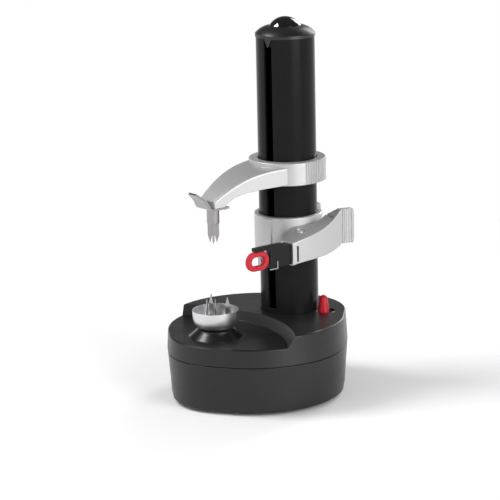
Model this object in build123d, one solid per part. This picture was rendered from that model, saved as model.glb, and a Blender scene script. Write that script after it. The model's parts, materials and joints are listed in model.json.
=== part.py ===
from build123d import *

import os
from math import acos, atan2, cos, degrees, hypot, pi, radians, sin, sqrt, tan

# Electric potato peeler, sizes in millimetres.
# Origin: centre of the base on the table. +Z is up, -Y is the food end,
# +Y is the tower end and +X is the side that carries the peeling lever.

# ---------------------------------------------------------------- driving dimensions
# Upright axes
FOOD_AXIS_Y = -41.0

# Base footprint: three circles on the centre line, wrapped by their tangents
NOSE_CENTRE_Y = -28.0
NOSE_GAP = 2.1
WAIST_CENTRE_Y = -1.5
BACK_CENTRE_Y = 24.2
BACK_RADIUS = 50.2

# Base heights and walls
TUB_BOTTOM = 2.5
SEAM_HEIGHT = 37.7
SEAM_GAP = 0.6
STEP_HEIGHT = 8.4
DECK_AIR = 2.1
BASE_WALL = 2.5
TUB_DRAFT = 2.6
COVER_DRAFT = 1.5
RIM_RADIUS = 1.2
LIP_HEIGHT = 2.0
LIP_GAP = 0.2
RECESS_RADIUS = 96.0
RECESS_OFFSET = 54.5
RECESS_FLARE = 8.0
RECESS_TOP_SHIFT = 3.8
RECESS_TOP_SETBACK = 5.8
CONE_HEIGHT = 6.1
CONE_FOOT_RADIUS = 20.5
CONE_TOP_RADIUS = 13.5

# Case bosses, screws and feet
CASE_BOSS_RADIUS = 4.0
CASE_BOSS_INSET = 9.5
FRONT_BOSS_ANGLE = -32.2
REAR_BOSS_ANGLE = 44.3
CASE_SCREW_RADIUS = 1.5
CASE_SCREW_GRIP = 5.8
SCREW_HOLE_GAP = 0.05
SCREW_HOLE_RESERVE = 1.0
SCREW_HEAD_RADIUS = 2.8
SCREW_HEAD_HEIGHT = 2.0
SCREW_HEAD_SINK = 1.0
FOOT_RADIUS = 4.6
FOOT_SEAT_DEPTH = 1.0
FOOT_WALL = 1.2

# Battery compartment, four AA cells side by side
CELL_COUNT = 4
CELL_RADIUS = 7.1
CELL_LENGTH = 49.2
CELL_BUTTON_RADIUS = 2.7
CELL_BUTTON_HEIGHT = 1.3
CELL_SPACING = 0.6
CELL_GAP = 0.3
CELL_ROW_OFFSET = 17.0
TRAY_WALL = 1.3
TRAY_GAP = 0.9
CONTACT_THICKNESS = 0.5
CONTACT_MARGIN = 2.0
CONTACT_SPRING_LENGTH = 3.0
CONTACT_SPRING_RADIUS = 3.0
CONTACT_SPRING_TURNS = 3
CONTACT_WIRE_RADIUS = 0.35
DOOR_THICKNESS = 1.4
DOOR_LEDGE = 1.8
DOOR_GAP = 0.25
DOOR_SCREW_OFFSET = 6.6
DOOR_BOSS_HEIGHT = 8.0

# Gearbox plates, posts and layers
LOWER_PLATE_THICKNESS = 2.0
LAYER_GAP = 1.0
GEAR_WIDTH = 5.0
UPPER_PLATE_THICKNESS = 2.5
POST_RADIUS = 4.0
POST_TRAY_GAP = 0.45
FRONT_POST_OFFSET = 3.0
REAR_POST_GAP = 6.0
POST_SCREW_RADIUS = 1.25
PLATE_MARGIN = 1.1

# Gear train
MODULE = 1.0
PRESSURE_ANGLE = 25.0
ADDENDUM = 0.8
DEDENDUM = 1.05
BACKLASH = 0.16
PINION_TEETH = 10
FIRST_LARGE_TEETH = 40
FIRST_SMALL_TEETH = 12
SECOND_LARGE_TEETH = 48
SECOND_SMALL_TEETH = 28
SPINDLE_TEETH = 30
SCREW_TEETH = 60
AXLE_RADIUS = 2.0
HUB_WALL = 2.5
RUNNING_GAP = 0.05
CLIP_RADIUS = 3.6
CLIP_THICKNESS = 0.8

# Motor
MOTOR_RADIUS = 14.0
MOTOR_LENGTH = 28.0
MOTOR_OFFSET_Y = 14.0
MOTOR_TRAY_GAP = 3.45
MOTOR_WALL_GAP = 3.4
MOTOR_SPIGOT_RADIUS = 4.5
MOTOR_SPIGOT_HEIGHT = 2.0
MOTOR_SHAFT_RADIUS = 1.15
MOTOR_END_BELL_RADIUS = 9.0
MOTOR_END_BELL_HEIGHT = 1.2
MOTOR_SCREW_OFFSET = 10.0
MOTOR_SCREW_RADIUS = 1.3
MOTOR_SCREW_DEPTH = 3.5
SMALL_HEAD_RADIUS = 2.4

# Food spindle, cup and prongs
SPINDLE_RADIUS = 3.0
BUSH_WALL = 1.6
CUP_GAP = 0.9
CUP_HEIGHT = 13.4
CUP_RIM_RADIUS = 17.5
CUP_FOOT_RADIUS = 12.6
CUP_SHOULDER_SHARE = 0.86
CUP_SHOULDER_RISE = 0.42
CUP_WALL = 1.2
CUP_FLOOR = 2.2
CUP_PRONG_COUNT = 3
CUP_PRONG_CIRCLE = 12.4
CUP_PRONG_ANGLE = 40.8
CUP_PRONG_TWIST = 20.0
CUP_PRONG_WIDTH = 4.0
CUP_PRONG_THICKNESS = 0.9
CUP_PRONG_HEIGHT = 21.0
PRONG_POINT_SHARE = 0.66
CUP_SPIKE_RADIUS = 1.5
CUP_SPIKE_TIP_RADIUS = 0.2
CUP_SPIKE_HEIGHT = 19.0

# Tower
TOWER_RADIUS = 22.2
TOWER_WALL = 2.2
TOWER_TOP = 271.8
TOWER_HOLE_GAP = 0.25
TOWER_FLANGE_WIDTH = 7.8
TOWER_FLANGE_THICKNESS = 3.0
TOWER_BEAD_WIDTH = 0.8
TOWER_BEAD_HEIGHT = 1.0
TOWER_SCREW_COUNT = 4
SLOT_WIDTH = 7.0
SLOT_ANGLE = -77.0
SLOT_LIFT = 3.7
CAP_OVERHANG = 0.5
CAP_RIM_HEIGHT = 2.4
CAP_CROWN_HEIGHT = 5.6
CAP_CROWN_BULGE = 0.75
CAP_PLUG_DEPTH = 6.0
CAP_PLUG_GAP = 0.1
CAP_TONGUE_LENGTH = 6.0
CAP_TONGUE_END_WIDTH = 1.2
CAP_TONGUE_INSET = 0.4
DOME_RADIUS = 12.0
DOME_MARGIN = 0.6
DOME_HEIGHT = 6.6
DOME_STEM_RADIUS = 5.0
DOME_STEM_LENGTH = 2.8
DOME_STEM_GAP = 0.2

# Lead screw
THREAD_LEAD = 8.0
THREAD_END_GAP = 4.0
THREAD_CORE_RADIUS = 4.6
THREAD_OUTER_RADIUS = 7.0
THREAD_ROOT_WIDTH = 3.2
THREAD_CREST_WIDTH = 2.4
THREAD_SINK = 0.3
JOURNAL_RADIUS = 3.0
JOURNAL_LENGTH = 8.0
JOURNAL_END_GAP = 0.5

# Upper arm; rises and drops are measured from the underside of its ring
ARM_RING_BOTTOM = 162.2
ARM_RING_HEIGHT = 17.0
ARM_RING_GAP = 0.55
ARM_RING_WALL = 6.65
ARM_ROOT_HALF_WIDTH = 22.5
ARM_ROOT_OFFSET = 18.9
ARM_TIP_HALF_WIDTH = 9.2
ARM_TIP_OFFSET = 5.3
ARM_INNER_OFFSET = 14.0
ARM_SHOULDER_OFFSET = 33.0
ARM_MIDDLE_OFFSET = 23.0
ARM_NECK_OFFSET = 7.0
ARM_CHIN_OFFSET = 3.0
ARM_TOP_INNER_RISE = 14.0
ARM_TOP_SHOULDER_RISE = 13.2
ARM_TOP_MIDDLE_RISE = 9.7
ARM_TOP_NECK_RISE = 2.8
ARM_TOP_TIP_DROP = 5.0
ARM_LOW_INNER_RISE = 1.2
ARM_LOW_SHOULDER_RISE = 0.2
ARM_LOW_MIDDLE_DROP = 1.1
ARM_LOW_NECK_DROP = 5.8
ARM_LOW_CHIN_DROP = 9.6
ARM_CHIN_DROP = 10.3
ARM_WALL = 2.2
ARM_POCKET_OFFSET = 10.0
ARM_EDGE_RADIUS = 0.8
ARM_BEAM_EDGE_RADIUS = 1.6
ARM_OVERLAP = 4.0
GRIP_GROOVE_COUNT = 16
GRIP_GROOVE_PITCH = 2.0
GRIP_GROOVE_DEPTH = 0.5
GRIP_GROOVE_WIDTH = 1.0
GRIP_GROOVE_START = -11.0
TAB_HALF_WIDTH = 9.0
TAB_THICKNESS = 1.5
TAB_GAP = 0.1
TAB_START_OFFSET = 8.5
TAB_BEND_OFFSET = 5.6
TAB_CURL_OFFSET = 10.6
TAB_CURL_RISE = 5.2
TAB_TIP_OFFSET = 16.4
TAB_TIP_RISE = 12.1
TAB_CUT_START = 1.3
TAB_CORNER_RADIUS = 1.2
TAB_SCREW_X = 5.6
TAB_SCREW_OFFSET = 6.4
TAB_SCREW_RADIUS = 0.9
TAB_SCREW_LENGTH = 3.5
TAB_SCREW_HEAD_RADIUS = 1.7
TAB_SCREW_HEAD_HEIGHT = 1.0

# Upper food holder
HUB_RADIUS = 4.75
HUB_LENGTH = 11.2
HUB_EDGE_RADIUS = 0.4
HUB_CLIP_RADIUS = 4.2
HUB_CLIP_THICKNESS = 0.8
HUB_PIN_RADIUS = 2.0
HUB_PIN_HEIGHT = 4.6
ARM_BUSH_WALL = 1.5
HUB_PRONG_COUNT = 4
HUB_PRONG_TURN = 45.0
HUB_PRONG_WIDTH = 3.4
HUB_PRONG_LENGTH = 18.0
HUB_PRONG_THICKNESS = 0.9
HUB_PRONG_CIRCLE = 2.6
HUB_PRONG_SEAT = 3.0

# Carriage; rises are measured from the collar's underside
CARRIAGE_BOTTOM = 103.0
CARRIAGE_HEIGHT = 33.5
CARRIAGE_WALL = 3.4
SLEEVE_GAP = 0.4
KEY_CLEARANCE = 0.3
KEY_HEIGHT = 14.0
KEY_RISE = 17.0
KEY_POCKET_GAP = 0.1
KEY_HEAD_DEPTH = 2.2
FOLLOWER_PIN_RADIUS = 1.9
FOLLOWER_TIP_GAP = 0.6
FOLLOWER_SHOULDER_GAP = 2.5
RIB_WIDTH = 7.2
RIB_DEPTH = 1.0
RIB_TOP_DROP = 1.0
STOP_ANGLE = 70.0
STOP_WIDTH = 7.0
STOP_HEIGHT = 4.0
LUG_RADIUS = 5.2
LUG_ROOT_NARROWING = 1.6
LUG_RISE = 7.6
LUG_HEIGHT = 7.6

# Peel lever; rises are measured from the collar's underside
PIVOT_COLLAR_GAP = 4.0
PIVOT_OFFSET_Y = 13.5
PIVOT_PIN_RADIUS = 2.0
PIVOT_HEAD_RADIUS = 3.2
PIVOT_HEAD_HEIGHT = 1.4
PIVOT_HEAD_RISE = 24.0
PIVOT_PIN_FOOT = 3.2
LEVER_FRONT_OFFSET = 14.5
LEVER_INNER_OFFSET = 5.0
LEVER_OUTER_OFFSET = 8.4
LEVER_MIDDLE_OFFSET = 1.5
LEVER_REAR_OFFSET = 19.5
LEVER_FRONT_RISE = 19.3
LEVER_OUTER_MIDDLE_RISE = 23.4
LEVER_OUTER_REAR_RISE = 29.0
LEVER_INNER_MIDDLE_RISE = 28.6
LEVER_INNER_REAR_RISE = 32.4
LEVER_FRONT_FOOT = 2.0
LEVER_MIDDLE_FOOT = 4.0
LEVER_REAR_FOOT = 6.0
LEVER_END_FOOT = 10.0
LEVER_WALL = 2.4
LEVER_POCKET_END_GAP = 5.0
LEVER_EDGE_RADIUS = 1.0
LEVER_SWING_IN = 20.0
LEVER_SWING_OUT = 12.0
LEVER_COLLAR_GAP = 0.5
LEVER_BACK_BULGE = 2.4
LEVER_END_FLARE = 1.2
LEVER_ELBOW_NARROWING = 6.2
LEVER_ELBOW_SETBACK = 1.0
LEVER_SHOULDER_NARROWING = 14.0
LEVER_SHOULDER_SETBACK = 10.0
LEVER_WAIST_SETBACK = 20.5
PADDLE_OFFSET = 32.0
PADDLE_LENGTH = 10.0
PADDLE_FLARE = 3.6
PADDLE_THICKNESS = 4.4
PADDLE_TOP_RISE = 38.2
PADDLE_BOTTOM_RISE = 11.4
PADDLE_SHOULDER_DROP = 0.6
PADDLE_ROUND = 1.6
PADDLE_BOW = 2.0
PADDLE_GROOVE_COUNT = 5
PADDLE_GROOVE_WIDTH = 0.9
PADDLE_GROOVE_DEPTH = 0.5
PADDLE_CURVE_POWER = 1.6
LEVER_SLOT_OFFSET = 4.3
LEVER_SLOT_WIDTH = 1.7
LEVER_SLOT_HEIGHT = 12.0
LEVER_SLOT_DEPTH = 4.0
SPRING_WIRE_RADIUS = 0.45
SPRING_COIL_RADIUS = 3.2
SPRING_TURNS = 3
SPRING_SLACK = 1.15

# Blade holder, guard and blade
HOLDER_HEIGHT = 15.0
HOLDER_RISE = 3.2
HOLDER_DEPTH = 9.4
HOLDER_SETBACK = 1.7
HOLDER_REACH = 13.4
HOLDER_GAP = 0.1
HOLDER_PLUG_LENGTH = 7.0
HOLDER_EDGE_RADIUS = 0.4
CARRIER_PROUD = 1.2
CARRIER_DEPTH = 4.6
CARRIER_NECK_REACH = 9.6
CARRIER_TIP_REACH = 14.0
CARRIER_ARM_THICKNESS = 2.8
CARRIER_OVERLAP = 3.0
GUARD_REACH = 10.8
GUARD_LENGTH = 20.6
GUARD_HEIGHT = 14.6
GUARD_HOLE_LENGTH = 12.0
GUARD_HOLE_HEIGHT = 6.6
GUARD_DEPTH = 4.4
GUARD_GAP = 0.1
GUARD_EDGE_RADIUS = 1.5
BLADE_THICKNESS = 0.6
BLADE_WIDTH = 3.4
BLADE_SEAT = 1.6
BLADE_OFFSET_Y = 2.6
RETAINER_THICKNESS = 0.7
RETAINER_WIDTH = 1.0
RETAINER_HEIGHT = 5.0
RETAINER_OFFSET = 2.6
RETAINER_FOOT = 0.6

# Switch
SWITCH_ANGLE = 21.946
SWITCH_TOWER_GAP = 2.73
SWITCH_KNOB_RADIUS = 4.5
SWITCH_KNOB_TOP_RADIUS = 3.1
SWITCH_KNOB_HEIGHT = 13.0
SWITCH_TRAVEL = 4.0
SWITCH_WELL_DEPTH = 1.0
SWITCH_WELL_GAP = 1.0
SWITCH_STEM_RADIUS = 1.8
SWITCH_STEM_LENGTH = 6.5
SWITCH_STEM_GAP = 0.4
SWITCH_BODY_LENGTH = 17.0
SWITCH_BODY_WIDTH = 8.0
SWITCH_BODY_HEIGHT = 7.0
SWITCH_BODY_FLOOR = 1.0

# Supply socket in the back wall
SOCKET_RISE = 12.0
SOCKET_OUTER_RADIUS = 4.6
SOCKET_BORE_RADIUS = 3.0
SOCKET_PIN_RADIUS = 1.0
SOCKET_LENGTH = 12.0
SOCKET_BOTTOM = 2.0
SOCKET_PIN_SETBACK = 1.0
SOCKET_FLANGE = 1.6
SOCKET_FLANGE_THICKNESS = 1.0
SOCKET_FLANGE_GAP = 0.6

# ---------------------------------------------------------------- values that follow
UP = (Align.CENTER, Align.CENTER, Align.MIN)

# Battery tray on the tub's floor
TUB_FLOOR_TOP = TUB_BOTTOM + BASE_WALL
CELL_PITCH = 2 * CELL_RADIUS + CELL_SPACING
CELL_AXIS_Z = TUB_FLOOR_TOP + CELL_GAP + CELL_RADIUS
CELL_ROW_CENTRE_Y = FOOD_AXIS_Y + CELL_ROW_OFFSET
CELL_SPAN = CELL_LENGTH + CELL_BUTTON_HEIGHT + CONTACT_SPRING_LENGTH
TRAY_HALF_LENGTH = CELL_SPAN / 2 + CONTACT_THICKNESS
TRAY_HALF_WIDTH = (CELL_COUNT - 1) * CELL_PITCH / 2 + CELL_RADIUS + CELL_GAP
TRAY_END_X = TRAY_HALF_LENGTH + TRAY_WALL
TRAY_FRONT_Y = CELL_ROW_CENTRE_Y - TRAY_HALF_WIDTH - TRAY_WALL
TRAY_BACK_Y = CELL_ROW_CENTRE_Y + TRAY_HALF_WIDTH + TRAY_WALL
TRAY_ROOF = CELL_AXIS_Z + CELL_RADIUS + CELL_GAP
DOOR_SCREW_Y = TRAY_BACK_Y + DOOR_SCREW_OFFSET

# Gear layers between and above the plates
LOWER_PLATE_BOTTOM = TRAY_ROOF + TRAY_WALL + TRAY_GAP
LOWER_PLATE_TOP = LOWER_PLATE_BOTTOM + LOWER_PLATE_THICKNESS
LAYER_A = LOWER_PLATE_TOP + LAYER_GAP
LAYER_B = LAYER_A + GEAR_WIDTH + LAYER_GAP
UPPER_PLATE_BOTTOM = LAYER_B + GEAR_WIDTH + LAYER_GAP
UPPER_PLATE_TOP = UPPER_PLATE_BOTTOM + UPPER_PLATE_THICKNESS
LAYER_C = UPPER_PLATE_TOP + LAYER_GAP
AXLE_TOP = LAYER_C + GEAR_WIDTH + LAYER_GAP + CLIP_THICKNESS

# Base heights above the gears
DECK_UNDERSIDE = AXLE_TOP + DECK_AIR
DECK_HEIGHT = DECK_UNDERSIDE + BASE_WALL
PAD_HEIGHT = DECK_HEIGHT + STEP_HEIGHT
PAD_UNDERSIDE = PAD_HEIGHT - BASE_WALL
CONE_TOP = DECK_HEIGHT + CONE_HEIGHT
CUP_BOTTOM = CONE_TOP + CUP_GAP
RECESS_CENTRE_Y = FOOD_AXIS_Y - RECESS_OFFSET

# Base outline round the tray and the motor
MOTOR_X = -(TRAY_END_X + MOTOR_TRAY_GAP + MOTOR_RADIUS)
WALL_ALLOWANCE = BASE_WALL + TUB_DRAFT
WAIST_RADIUS = MOTOR_RADIUS - MOTOR_X + MOTOR_WALL_GAP + WALL_ALLOWANCE
NOSE_RADIUS = hypot(TRAY_END_X, NOSE_CENTRE_Y - TRAY_FRONT_Y) + NOSE_GAP + WALL_ALLOWANCE


def pitch_radius(teeth):
    """Pitch radius of a gear."""
    return MODULE * teeth / 2


def centre_distance(teeth_a, teeth_b):
    """Distance between two meshed gears."""
    return pitch_radius(teeth_a) + pitch_radius(teeth_b)


SECOND_AXIS_Y = FOOD_AXIS_Y + centre_distance(SPINDLE_TEETH, SECOND_SMALL_TEETH)
TOWER_AXIS_Y = SECOND_AXIS_Y + centre_distance(SECOND_SMALL_TEETH, SCREW_TEETH)
MOTOR_Y = SECOND_AXIS_Y + MOTOR_OFFSET_Y


def first_axis():
    """Axis of the first gear, where its two centre distances meet, on the food side."""
    to_second = centre_distance(FIRST_SMALL_TEETH, SECOND_LARGE_TEETH)
    to_motor = centre_distance(PINION_TEETH, FIRST_LARGE_TEETH)
    dx = MOTOR_X
    dy = MOTOR_Y - SECOND_AXIS_Y
    span = hypot(dx, dy)
    along = (to_second**2 - to_motor**2 + span**2) / (2 * span)
    across = sqrt(to_second**2 - along**2)
    x = (along * dx + across * dy) / span
    y = SECOND_AXIS_Y + (along * dy - across * dx) / span
    mirrored_y = SECOND_AXIS_Y + (along * dy + across * dx) / span
    mirrored_x = (along * dx - across * dy) / span
    return (x, y) if y < mirrored_y else (mirrored_x, mirrored_y)


FIRST_X, FIRST_Y = first_axis()

# Tower, its cap and the lead screw
TOWER_BORE = TOWER_RADIUS - TOWER_WALL
TOWER_FLANGE_RADIUS = TOWER_RADIUS + TOWER_FLANGE_WIDTH
SLOT_BOTTOM = PAD_HEIGHT + SLOT_LIFT
CAP_RADIUS = TOWER_RADIUS + CAP_OVERHANG
CAP_RIM_TOP = TOWER_TOP + CAP_RIM_HEIGHT
CAP_TOP = CAP_RIM_TOP + CAP_CROWN_HEIGHT
SCREW_TOP = TOWER_TOP - CAP_PLUG_DEPTH + JOURNAL_LENGTH
SCREW_SHOULDER = TOWER_TOP - CAP_PLUG_DEPTH - LAYER_GAP
THREAD_BOTTOM = SLOT_BOTTOM
THREAD_TURNS = int((SCREW_SHOULDER - THREAD_END_GAP - THREAD_BOTTOM) / THREAD_LEAD)

# Upper arm
ARM_RING_TOP = ARM_RING_BOTTOM + ARM_RING_HEIGHT
ARM_BORE = TOWER_RADIUS + ARM_RING_GAP
ARM_RING_RADIUS = ARM_BORE + ARM_RING_WALL
ARM_ROOT_Y = TOWER_AXIS_Y - ARM_ROOT_OFFSET
ARM_INNER_Y = TOWER_AXIS_Y - ARM_INNER_OFFSET
ARM_SHOULDER_Y = TOWER_AXIS_Y - ARM_SHOULDER_OFFSET
ARM_MIDDLE_Y = FOOD_AXIS_Y + ARM_MIDDLE_OFFSET
ARM_NECK_Y = FOOD_AXIS_Y + ARM_NECK_OFFSET
ARM_CHIN_Y = FOOD_AXIS_Y + ARM_CHIN_OFFSET
ARM_TIP_Y = FOOD_AXIS_Y - ARM_TIP_OFFSET
ARM_POCKET_FRONT_Y = FOOD_AXIS_Y + ARM_POCKET_OFFSET
ARM_CHIN_Z = ARM_RING_BOTTOM - ARM_CHIN_DROP
ARM_TOP_LINE = [
    (ARM_INNER_Y, ARM_RING_BOTTOM + ARM_TOP_INNER_RISE),
    (ARM_SHOULDER_Y, ARM_RING_BOTTOM + ARM_TOP_SHOULDER_RISE),
    (ARM_MIDDLE_Y, ARM_RING_BOTTOM + ARM_TOP_MIDDLE_RISE),
    (ARM_NECK_Y, ARM_RING_BOTTOM + ARM_TOP_NECK_RISE),
    (ARM_TIP_Y, ARM_RING_BOTTOM - ARM_TOP_TIP_DROP),
]
ARM_BOTTOM_LINE = [
    (ARM_INNER_Y, ARM_RING_BOTTOM + ARM_LOW_INNER_RISE),
    (ARM_SHOULDER_Y, ARM_RING_BOTTOM + ARM_LOW_SHOULDER_RISE),
    (ARM_MIDDLE_Y, ARM_RING_BOTTOM - ARM_LOW_MIDDLE_DROP),
    (ARM_NECK_Y, ARM_RING_BOTTOM - ARM_LOW_NECK_DROP),
    (ARM_CHIN_Y, ARM_RING_BOTTOM - ARM_LOW_CHIN_DROP),
]
TAB_TOP = ARM_CHIN_Z - TAB_GAP
TAB_BOTTOM = TAB_TOP - TAB_THICKNESS
TAB_SCREW_Y = FOOD_AXIS_Y + TAB_SCREW_OFFSET
HUB_SHOULDER = TAB_BOTTOM - TAB_GAP
HUB_BOTTOM = HUB_SHOULDER - HUB_LENGTH
HUB_CLIP_LOW = TAB_TOP + TAB_GAP
HUB_CLIP_ROOM = HUB_CLIP_LOW + HUB_CLIP_THICKNESS + CELL_GAP
HUB_PIN_TOP = HUB_CLIP_ROOM + HUB_PIN_HEIGHT

# Carriage
CARRIAGE_BORE = TOWER_RADIUS + SLEEVE_GAP
CARRIAGE_RADIUS = CARRIAGE_BORE + CARRIAGE_WALL
CARRIAGE_TOP = CARRIAGE_BOTTOM + CARRIAGE_HEIGHT
KEY_CENTRE_Z = CARRIAGE_BOTTOM + KEY_RISE
KEY_WIDTH = SLOT_WIDTH - 2 * KEY_CLEARANCE
FOLLOWER_SHOULDER_RADIUS = THREAD_OUTER_RADIUS + FOLLOWER_SHOULDER_GAP
LUG_BOTTOM = CARRIAGE_BOTTOM + LUG_RISE
LUG_TOP = LUG_BOTTOM + LUG_HEIGHT

# Peel lever and its pin
PIVOT_X = CARRIAGE_RADIUS + PIVOT_COLLAR_GAP
PIVOT_Y = TOWER_AXIS_Y - PIVOT_OFFSET_Y
PIVOT_HEAD_LOW = CARRIAGE_BOTTOM + PIVOT_HEAD_RISE
LEVER_FRONT_Y = PIVOT_Y - LEVER_FRONT_OFFSET
LEVER_MIDDLE_Y = PIVOT_Y + LEVER_MIDDLE_OFFSET
LEVER_REAR_Y = PIVOT_Y + LEVER_REAR_OFFSET
LEVER_INNER_X = PIVOT_X - LEVER_INNER_OFFSET
LEVER_OUTER_X = PIVOT_X + LEVER_OUTER_OFFSET
LEVER_END_X = LEVER_OUTER_X + LEVER_END_FLARE
LEVER_SLOT_Y = LEVER_FRONT_Y + LEVER_SLOT_OFFSET
PADDLE_Y = PIVOT_Y + PADDLE_OFFSET
PADDLE_END_Y = PADDLE_Y + PADDLE_LENGTH
PADDLE_TOP = CARRIAGE_BOTTOM + PADDLE_TOP_RISE
PADDLE_BOTTOM = CARRIAGE_BOTTOM + PADDLE_BOTTOM_RISE
LEVER_OUTER_TOP = [
    (LEVER_FRONT_Y, CARRIAGE_BOTTOM + LEVER_FRONT_RISE),
    (LEVER_MIDDLE_Y, CARRIAGE_BOTTOM + LEVER_OUTER_MIDDLE_RISE),
    (LEVER_REAR_Y, CARRIAGE_BOTTOM + LEVER_OUTER_REAR_RISE),
    (PADDLE_Y, PADDLE_TOP - PADDLE_SHOULDER_DROP),
]
LEVER_INNER_TOP = [
    (LEVER_FRONT_Y, CARRIAGE_BOTTOM + LEVER_FRONT_RISE),
    (LEVER_MIDDLE_Y, CARRIAGE_BOTTOM + LEVER_INNER_MIDDLE_RISE),
    (LEVER_REAR_Y, CARRIAGE_BOTTOM + LEVER_INNER_REAR_RISE),
    (PADDLE_Y, PADDLE_TOP - PADDLE_SHOULDER_DROP),
]
LEVER_BOTTOM = [
    (LEVER_FRONT_Y, CARRIAGE_BOTTOM + LEVER_FRONT_FOOT),
    (LEVER_MIDDLE_Y, CARRIAGE_BOTTOM + LEVER_MIDDLE_FOOT),
    (LEVER_REAR_Y, CARRIAGE_BOTTOM + LEVER_REAR_FOOT),
    (PADDLE_Y, CARRIAGE_BOTTOM + LEVER_END_FOOT),
]

# Blade holder and guard
HOLDER_BOTTOM = CARRIAGE_BOTTOM + HOLDER_RISE
HOLDER_TOP = HOLDER_BOTTOM + HOLDER_HEIGHT
HOLDER_OUTER_X = LEVER_OUTER_X - HOLDER_SETBACK
HOLDER_FRONT_Y = LEVER_FRONT_Y - HOLDER_REACH
CARRIER_OUTER_X = LEVER_OUTER_X + CARRIER_PROUD
CARRIER_INNER_X = CARRIER_OUTER_X - CARRIER_DEPTH
CARRIER_MIDDLE_X = CARRIER_OUTER_X - CARRIER_DEPTH / 2
CARRIER_NECK_Y = HOLDER_FRONT_Y - CARRIER_NECK_REACH
CARRIER_TIP_Y = CARRIER_NECK_Y - CARRIER_TIP_REACH
GUARD_CENTRE_Y = CARRIER_NECK_Y - GUARD_REACH
GUARD_CENTRE_Z = PADDLE_BOTTOM
GUARD_LOW = GUARD_CENTRE_Z - GUARD_HEIGHT / 2
GUARD_HIGH = GUARD_CENTRE_Z + GUARD_HEIGHT / 2

# Switch and socket
SWITCH_DISTANCE = TOWER_RADIUS + SWITCH_KNOB_RADIUS + SWITCH_TOWER_GAP
SWITCH_X = SWITCH_DISTANCE * cos(radians(SWITCH_ANGLE))
SWITCH_Y = TOWER_AXIS_Y + SWITCH_DISTANCE * sin(radians(SWITCH_ANGLE))
SOCKET_HEIGHT_Z = TUB_FLOOR_TOP + SOCKET_RISE

# Places of the case bosses, the feet and the gearbox posts
BOSS_DISTANCE = WAIST_RADIUS - CASE_BOSS_INSET
CASE_BOSSES = [
    (side * BOSS_DISTANCE * cos(radians(angle)), WAIST_CENTRE_Y + BOSS_DISTANCE * sin(radians(angle)))
    for angle in (FRONT_BOSS_ANGLE, REAR_BOSS_ANGLE)
    for side in (-1, 1)
]
FOOT_DISTANCE = BOSS_DISTANCE - SCREW_HEAD_RADIUS - FOOT_WALL - FOOT_RADIUS - 2 * DOOR_GAP
FEET = [
    (side * FOOT_DISTANCE * cos(radians(angle)), WAIST_CENTRE_Y + FOOT_DISTANCE * sin(radians(angle)))
    for angle in (FRONT_BOSS_ANGLE, REAR_BOSS_ANGLE)
    for side in (-1, 1)
]
FRONT_POST = (TRAY_END_X + POST_RADIUS + POST_TRAY_GAP, FOOD_AXIS_Y - FRONT_POST_OFFSET)
REAR_POST = (TOWER_FLANGE_RADIUS + POST_RADIUS + REAR_POST_GAP, TOWER_AXIS_Y - REAR_POST_GAP)
POSTS = [(side * x, y) for x, y in (FRONT_POST, REAR_POST) for side in (-1, 1)]


# ---------------------------------------------------------------- shared shapes
def disc(radius, low, high, x=0.0, y=0.0):
    """Upright cylinder between two heights."""
    return Pos(x, y, low) * Cylinder(radius, high - low, align=UP)


def tube(outer, inner, low, high, x=0.0, y=0.0):
    """Upright tube between two heights."""
    return disc(outer, low, high, x, y) - disc(inner, low, high, x, y)


def block(x0, x1, y0, y1, z0, z1):
    """Box between two corners."""
    middle = Pos((x0 + x1) / 2, (y0 + y1) / 2, (z0 + z1) / 2)
    return middle * Box(x1 - x0, y1 - y0, z1 - z0)


def wrap(circles):
    """Outline around circles given as (x, y, radius)."""
    edges = [(Pos(x, y) * Circle(radius)).edge() for x, y, radius in circles]
    return make_hull(ShapeList(edges))


def upright(sketch, low, high):
    """Sketch in the floor plane, extruded between two heights."""
    return extrude(Pos(0, 0, low) * sketch, amount=high - low)


def footprint(inset=0.0):
    """Base outline, drawn in by an inset."""
    return wrap(
        [
            (0, NOSE_CENTRE_Y, NOSE_RADIUS - inset),
            (0, WAIST_CENTRE_Y, WAIST_RADIUS - inset),
            (0, BACK_CENTRE_Y, BACK_RADIUS - inset),
        ]
    )


def drafted(low, high, low_inset, high_inset):
    """Solid between two heights whose outline is drawn in by two insets."""
    sections = [Pos(0, 0, low) * footprint(low_inset), Pos(0, 0, high) * footprint(high_inset)]
    return loft(sections, ruled=True)


def tub_inset(z):
    """How far the tub's outer wall is drawn in at a height."""
    return TUB_DRAFT * (SEAM_HEIGHT - z) / (SEAM_HEIGHT - TUB_BOTTOM)


def cover_inset(z):
    """How far the cover's outer wall is drawn in at a height."""
    return COVER_DRAFT * (z - SEAM_HEIGHT) / (PAD_HEIGHT - SEAM_HEIGHT)


def side_face(points_top, points_bottom, x):
    """Closed outline in an upright plane across X, with smooth top and bottom edges."""
    plane = Plane(origin=(x, 0, 0), x_dir=(0, 1, 0), z_dir=(1, 0, 0))
    top = Spline(*points_top)
    bottom = Spline(*points_bottom)
    front = Line(points_bottom[0], points_top[0])
    back = Line(points_top[-1], points_bottom[-1])
    return plane * make_face(Curve() + [top, back, bottom, front])


def coil(radius, wire, length, turns, x, y, z):
    """Upright coil spring of round wire, centred at x, y and starting at z."""
    path = Helix((length - 2 * wire) / turns, length - 2 * wire, radius)
    section = Plane(origin=path @ 0, z_dir=path % 0) * Circle(wire)
    return Pos(x, y, z + wire) * sweep(section, path=path, is_frenet=True)


def screw(radius, head_radius, low, high, x, y, head_up=True):
    """Screw whose shank runs from low to high, with its head beyond one end."""
    shank = disc(radius, low, high, x, y)
    if head_up:
        return shank + disc(head_radius, high, high + SCREW_HEAD_HEIGHT, x, y)
    return shank + disc(head_radius, low - SCREW_HEAD_HEIGHT, low, x, y)


# ---------------------------------------------------------------- gears
def involute(angle):
    """Involute function of an angle in radians."""
    return tan(angle) - angle


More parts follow.
